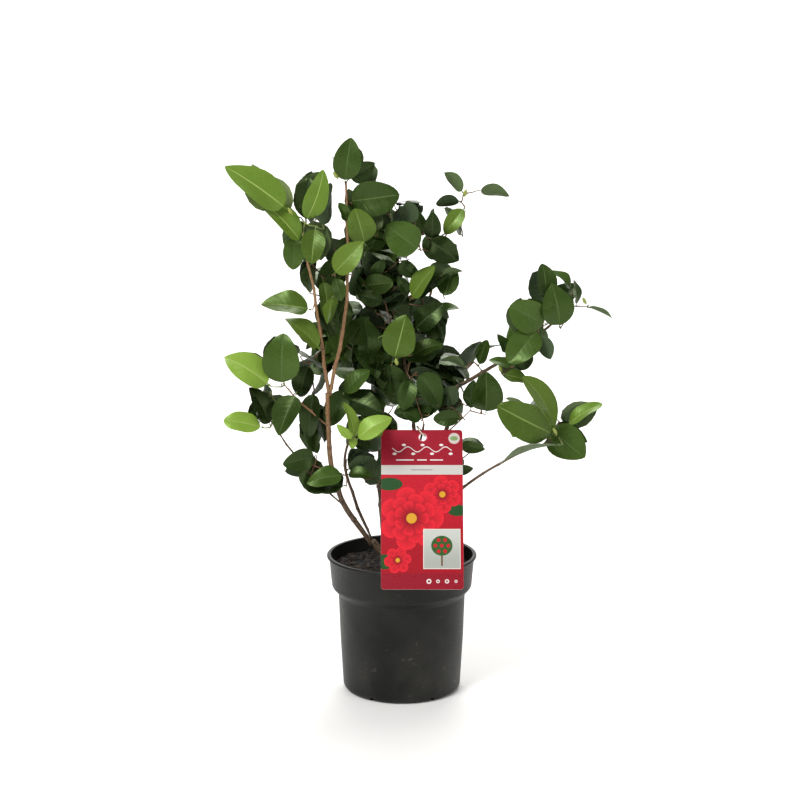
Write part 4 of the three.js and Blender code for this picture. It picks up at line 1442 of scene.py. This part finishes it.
def leaf_cloud(leaf):
    """A few points spread over a leaf's blade."""
    side = np.cross(leaf["way"], leaf["face"])
    points = []
    for along in (0.25, 0.45, 0.65, 0.85):
        reach = leaf["width"] / 2 * blade_reach(along, 0.55, 0.75)
        middle = leaf["base"] + leaf["way"] * leaf["length"] * along
        points += [middle - side * reach * 0.7, middle, middle + side * reach * 0.7]
    return np.array(points)


def set_back(leaf):
    """Moves a leaf back until it is behind every leading leaf it crosses."""
    cloud = leaf_cloud(leaf)
    leaf["base"] = leaf["base"] + (0, max(0, (behind_leaders(cloud) - cloud[:, 1]).max()), 0)
    return leaf


# %% [markdown]
# Filling a spray is a small contest. Forty leaves are tried for each one that is kept. A try gains
# by the bare skin that it hides, and loses by skin hidden twice and by sticking out. Five rounds
# with no leaf worth keeping end it. In sparse sprays, whose gaps matter to the outline, filling
# leaves stay in the shelter of the leading ones.

# %% Try leaves until a spray is full
TRIES, ROUNDS_LOST, LEAST_SCORE, BARE_ENOUGH = 40, 5, 2, 0.08
HIDDEN_TWICE, OUT_WITH_LEADERS, OUT_ALONE = 0.25, 0.4, 0.2
LONGEST_FILLER, NEAREST_AIM = 64 * MM, 0.35
OUT_ALLOWED, IN_THE_OPEN = 3 * MM, 8 * MM
INNER_REACH, INNER_SHORTEST, INNER_LONGEST = 50 * MM, 26 * MM, 62 * MM


def try_leaf(facts, aim, joints, tint, longest, draw):
    """A leaf that ends at a place on the skin, from a joint or from the end of a new short twig."""
    known = places_of(joints)
    gaps = np.linalg.norm(known - facts["skin"][aim], axis=1) * [draw.uniform(0.7, 1.3) for _ in joints]
    start = known[np.argmin(gaps)] + [draw.gauss(0, 5) * MM for _ in range(3)]
    way = facts["skin"][aim] - start
    distance = np.linalg.norm(way)
    length = longest * draw.uniform(0.7, 1.0)
    if distance < NEAREST_AIM * longest:
        return None
    start = facts["skin"][aim] - way / distance * length
    face = facts["out"][aim] * 0.9 + np.array((0, 0, 0.45)) + [draw.gauss(0, 0.3) for _ in range(3)]
    return set_back(new_leaf(start, way, face, length, tint, draw, FILLER_BROAD))


def poking_out(tree, cloud):
    """How far, in all, the middle and the edges of a leaf stand out of the solid, in millimetres."""
    return sum(max(0, -depth_inside(tree, point) - OUT_ALLOWED) for point in cloud) / MM


def in_the_open(cloud):
    """Whether more than one point of a leaf is clear of every leading leaf, seen from the front."""
    return (front_gaps(cloud).min(1) > IN_THE_OPEN).sum() > 1


def skin_gap(skin, cloud):
    """How far each point of the skin is from a leaf."""
    return np.linalg.norm(skin[:, None] - cloud[None], axis=2).min(1)


def fill_spray(facts, tint, leaves, joints, twigs, draw, sparse):
    """Adds leaves and their twigs until little skin is bare, and returns how much is."""
    skin, tree = facts["skin"], facts["tree"]
    bare = np.ones(len(skin), bool)
    for leaf in leaves:
        bare &= skin_gap(skin, leaf_cloud(leaf)) > LEAF_COVERS
    longest = min(LONGEST_FILLER, facts["reach"] * 1.7)
    sticking_out = OUT_WITH_LEADERS if leaves else OUT_ALONE
    lost = 0
    while bare.mean() > BARE_ENOUGH and lost < ROUNDS_LOST:
        best, best_score = None, LEAST_SCORE
        for _ in range(TRIES):
            aim = draw.choice(np.flatnonzero(bare).tolist())
            leaf = try_leaf(facts, aim, joints, tint, longest, draw)
            if leaf is None:
                continue
            cloud = leaf_cloud(leaf)
            if sparse and in_the_open(cloud):
                continue
            hidden = skin_gap(skin, cloud) < LEAF_COVERS
            score = (hidden & bare).sum() - HIDDEN_TWICE * (hidden & ~bare).sum()
            score -= sticking_out * poking_out(tree, cloud)
            if score > best_score:
                best, best_score, best_hidden = leaf, score, hidden
        if best is None:
            lost += 1
            continue
        bare &= ~best_hidden
        leaves.append(best)
        carry(joints, twigs, grow_twig(joints, best["base"], SIDE_TWIG, twigs, draw))
    return bare.mean()


def add_inner_leaves(facts, tint, leaves, joints, twigs, draw, sparse):
    """Leaves in the shade, which close the spray behind its skin, in the darker tint given as painted shade.
    """
    for _ in range(round(facts["volume"] / LEAF_ROOM)):
        aim = draw.randrange(len(facts["skin"]))
        tip = facts["middle"] + (facts["skin"][aim] - facts["middle"]) * draw.uniform(0.45, 0.8)
        known = places_of(joints)
        joint = int(np.argmin(np.abs(np.linalg.norm(known - tip, axis=1) - INNER_REACH)))
        face = facts["out"][aim] + [draw.gauss(0, 0.5) for _ in range(3)]
        length = min(np.linalg.norm(tip - known[joint]), INNER_LONGEST)
        leaf = new_leaf(known[joint], tip - known[joint], face, length, tint, draw, FILLER_BROAD)
        cloud = leaf_cloud(leaf)
        if sparse and in_the_open(cloud):
            continue
        if length > INNER_SHORTEST and (cloud[:, 1] > behind_leaders(cloud)).all():
            leaves.append(leaf)
            carry(joints, twigs, joint)


# %% [markdown]
# All leading leaves are set before any spray is filled, because a leaf of one spray may hide
# another spray's leader. Then each spray grows by itself: twigs to its leading leaves, a few more
# for their own sake, leaves over its skin, and some leaves in its shade.

# %% Set the leading leaves
draw = random.Random(23)
facts_of = {name: spray_facts(name, draw) for name in sorted(SPRAYS)}
leaders = {name: lead_spray(facts_of[name], LEADING_LEAVES.get(name, ()), draw) for name in facts_of}
leader_points = np.vstack([leaf_cloud(leaf) for leaves in leaders.values() for leaf in leaves])
print("leading leaves judged from", len(leader_points), "points")

# %% Grow every spray
ENTRY_SHIFTS = {"right_centre": (-34, -60)}
all_leaves, shoots = [], {"green": [], "brown": []}
for name, facts in facts_of.items():
    right, up = ENTRY_SHIFTS.get(name, (0, 0))
    heart = facts["middle"] + np.array((right, 0, up)) * MM
    entry = limb_points[np.argmin(np.linalg.norm(limb_points[:, :3] - heart, axis=1)), :3]
    joints, twigs, leaves = [(entry, -1, 0)], [], list(leaders[name])
    leading = len(leaves)
    if not leaves:
        onward = facts["long"] * np.sign(facts["long"] @ (facts["middle"] - entry) or 1)
        grow_twig(joints, facts["middle"], MAIN_TWIG, twigs, draw)
        grow_twig(joints, facts["middle"] + onward * facts["reach"] * 0.35, MAIN_TWIG * 0.8, twigs, draw)
    for leaf in sorted(leaves, key=lambda leaf: np.linalg.norm(leaf["base"] - entry)):
        carry(joints, twigs, grow_twig(joints, leaf["base"], SIDE_TWIG, twigs, draw))
    for _ in range(round(facts["volume"] / TWIG_ROOM)):
        outer = facts["skin"][draw.randrange(len(facts["skin"]))]
        inner = facts["middle"] + (outer - facts["middle"]) * draw.uniform(0.35, 0.6)
        inner[1] = max(inner[1], behind_leaders(inner[None], SHOOT_ROOM)[0])
        grow_twig(joints, inner, SIDE_TWIG, twigs, draw)
    tint, sparse = FILLING_TINTS.get(name, SPRAYS[name]), name in SPARSE_SPRAYS
    left_bare = fill_spray(facts, tint, leaves, joints, twigs, draw, sparse)
    # The leaves in a spray's shade get the darker green of painted shade.
    add_inner_leaves(facts, SHADE_PAINTED_TINTS[SPRAYS[name]], leaves, joints, twigs, draw, sparse)
    all_leaves += [(leaf, index < leading) for index, leaf in enumerate(leaves)]
    kind = "green" if SPRAYS[name] == "pale" else "brown"
    shoots[kind] += [twig["rows"][: twig["used"] + 1] for twig in twigs if twig["used"]]
    print(f"{name}: {len(leaves)} leaves, {left_bare:.0%} of the skin bare")
print(len(all_leaves), "leaves on", sum(len(twigs) for twigs in shoots.values()), "twigs")


# %% Join the twigs
def twig_mesh():
    bm = bmesh.new()
    for number, kind in enumerate(shoots):
        for line in shoots[kind]:
            grow_limb(bm, line, 6, paint_number=number)
    bmesh.ops.recalc_face_normals(bm, faces=bm.faces)
    return as_mesh(bm, "twigs")


twig_paints = []
for name, colour in {"green": "7d8c48", "brown": "6e4f36"}.items():
    material, tree, shader = new_material("twig_" + name, colour, 0.55)
    give_finish(tree, shader, fine_grain, Scale=700.0, Depth=0.4, Smooth=0.45, Rough=0.7)
    twig_paints.append(material)
show(twig_mesh(), "twigs", twig_paints)


# %% [markdown]
# A leaf's surface has side veins that sink in a little, and a waxy shine that varies over the
# blade. Its colours are plain: three close greens for blades, dealt out by leaf, one for ribs and
# one for undersides. The pattern of veins is drawn in the leaf's own coordinates, across and along.

# %% Node group for the leaf's surface
leaf_skin, ports, results = new_group(
    "leaf skin",
    {"Veins": 0.3, "Smooth": 0.3, "Rough": 0.45},
    {"Roughness": "Float", "Normal": "Vector"},
)
VEINS_SLANT, VEINS_CLOSE = -0.22, 50.0
blade_place = add(leaf_skin, "SeparateXYZ", {0: add(leaf_skin, "UVMap", uv_map="blade").outputs[0]}).outputs
slant = calc(leaf_skin, "MULTIPLY", calc(leaf_skin, "ABSOLUTE", blade_place[0]), VEINS_SLANT)
phase = calc(leaf_skin, "MULTIPLY", calc(leaf_skin, "ADD", blade_place[1], slant), VEINS_CLOSE)
beat = calc(leaf_skin, "MULTIPLY_ADD", calc(leaf_skin, "SINE", phase), 0.5, 0.5)
vein = calc(leaf_skin, "POWER", beat, 6.0)
wax = mottle(leaf_skin, 90.0, 3.0)
height = calc(leaf_skin, "MULTIPLY_ADD", vein, -0.6, wax)
group_finish(leaf_skin, ports, results, height, wax, ports["Veins"], 0.8 * MM)

# %% Leaf materials
LEAF_COLOURS = {
    "pale": {"blades": ("6f8a33", "7a973a", "5f7a2a"), "rib": "94a957", "under": "80925a"},
    "fresh": {"blades": ("4a5f20", "566c26", "40541b"), "rib": "6f8540", "under": "6d8050"},
    "mid": {"blades": ("2e4116", "384d1c", "273812"), "rib": "475c28", "under": "50623a"},
    "dark": {"blades": ("1f2f10", "293b17", "18250c"), "rib": "34471f", "under": "3c4d2e"},
}
SHEEN_TINT = (0.7, 1.0, 0.4, 1)
BLADE_SHEEN, DULL_SHEEN = 0.42, 0.3


def leaf_paints(tint):
    """Three materials for blades, then the rib's and the underside's."""
    paints = []
    colours = LEAF_COLOURS[tint]
    for number, colour in enumerate(colours["blades"], 1):
        material, tree, shader = new_material(
            f"leaf_{tint}_{number}", colour, 0.36, Specular_IOR_Level=BLADE_SHEEN, Specular_Tint=SHEEN_TINT
        )
        give_finish(tree, shader, leaf_skin, Veins=0.16, Smooth=0.22, Rough=0.42)
        paints.append(material)
    for part, dull in (("rib", 0.45), ("under", 0.6)):
        material, tree, shader = new_material(
            f"leaf_{tint}_{part}", colours[part], dull, Specular_IOR_Level=DULL_SHEEN
        )
        give_finish(tree, shader, leaf_skin, Veins=0.5, Smooth=dull - 0.05, Rough=dull + 0.12)
        paints.append(material)
    return paints


# %% Join the leaves of each tint
RIB_PAINT, UNDER_PAINT = 3, 4
BLADE_CREASE = math.radians(75)


def leaf_mesh(tint):
    """All leaves of a tint in one mesh. The map `blade` holds each point's place on its own leaf."""
    parts, blades = [], []
    for leaf, leads in all_leaves:
        if leaf["tint"] != tint:
            continue
        shape, faces, face_parts = LEADING if leads else FILLING
        numbers = (leaf["shade"], RIB_PAINT, UNDER_PAINT)
        parts.append((leaf_points(shape, leaf), faces, [numbers[part] for part in face_parts]))
        blades.append(shape[:, :2])
    mesh = joined("leaves_" + tint, parts)
    blade = mesh.uv_layers.new(name="blade")
    corners = np.empty(len(mesh.loops), np.int32)
    mesh.loops.foreach_get("vertex_index", corners)
    blade.uv.foreach_set("vector", np.concatenate(blades)[corners].astype(np.float32).ravel())
    mesh.shade_smooth()
    mesh.set_sharp_from_angle(angle=BLADE_CREASE)
    return mesh


for tint, names in SPRAYS_OF.items():
    show(leaf_mesh(tint), "leaves_" + tint, leaf_paints(tint), names, smooth=None)


# %% [markdown]
# ## Buds
# Next year's growth sits in the fork of the topmost leaves as a pointed bud, wrapped in scales
# that overlap like roof tiles. A bud is a spindle: one ring, extruded up its length and widened
# or narrowed at each step, with a small ledge where one pair of scales ends and the next shows.
# Small ones sit where some of the leaf stalks leave their twigs.

# %% Shape a bud
BUD_RINGS, RINGS_A_SCALE = 10, 3
BUD_FOOT, BUD_WIDEST_AT, BUD_TIP = 0.45, 0.35, 0.02
BUD_WIDEST = BUD_FOOT + 1.5 * BUD_WIDEST_AT


def bud_girth(share):
    if share < BUD_WIDEST_AT:
        return BUD_FOOT + 1.5 * share
    return max(BUD_TIP, BUD_WIDEST * (1 - ((share - BUD_WIDEST_AT) / (1 - BUD_WIDEST_AT)) ** 1.7))


def bud_pattern():
    """A bud one unit long and about one in radius: its vertices and faces."""
    bm = bmesh.new()
    ring = bmesh.ops.create_circle(bm, segments=8, radius=1, cap_ends=False)["verts"]
    edges = list({edge for vert in ring for edge in vert.link_edges})
    for step in range(BUD_RINGS):
        if step:
            ring, edges, _ = next_ring(bm, edges)
        share = step / (BUD_RINGS - 1)
        for vert in ring:
            turn = math.atan2(vert.co.y, vert.co.x)
            overlap = 0.12 * math.cos(2 * turn + (step // RINGS_A_SCALE) * math.pi / 2)
            reach = bud_girth(share) * (1 + overlap - 0.06 * (step % RINGS_A_SCALE))
            vert.co = (reach * math.cos(turn), reach * math.sin(turn), share)
    bmesh.ops.recalc_face_normals(bm, faces=bm.faces)
    return shape_of(bm)


# %% Set the buds
TIP_BUD, SIDE_BUD = (11 * MM, 2.8 * MM), (4.5 * MM, 1.0 * MM)
SIDE_BUD_SHARE = 0.3
TIP_BUDS = {
    "top_tip": (-22, -16), "left_top": (24, -14), "centre_front": (-1, -28), "tip_right": (-11, 12),
    "far_right_tip": (-2, -9), "right_low_big": (31, -25), "right_centre_up": (-13, -1),
}


def bud_mesh():
    """The buds at the shoot ends, placed by their spray's middle, and those beside leaf stalks."""
    draw = random.Random(31)
    shape, faces = bud_pattern()
    parts = []

    def set_bud(base, way, size, paint_number):
        length, girth = size
        turn = np.array(Vector(way).to_track_quat("Z", "Y").to_matrix())
        points = (shape * (girth, girth, length)) @ turn.T + base
        parts.append((points, faces, [paint_number] * len(faces)))

    for name, (right, up) in TIP_BUDS.items():
        base = facts_of[name]["middle"] + np.array((right, -8, up)) * MM
        set_bud(base, (draw.uniform(-0.6, 0.6), -0.35, 0.8), TIP_BUD, 0)
    for leaf, _ in all_leaves:
        if draw.random() < SIDE_BUD_SHARE:
            set_bud(leaf["base"], leaf["way"] + leaf["face"] * 0.9, SIDE_BUD, 1)
    return joined("buds", parts)


bud_paints = []
for name, colour in {"bud_tip": "8f9a48", "bud_side": "5f6a34"}.items():
    material, tree, shader = new_material(name, colour, 0.5)
    give_finish(tree, shader, fine_grain, Scale=900.0, Depth=0.3, Smooth=0.42, Rough=0.62)
    bud_paints.append(material)
show(bud_mesh(), "buds", bud_paints)
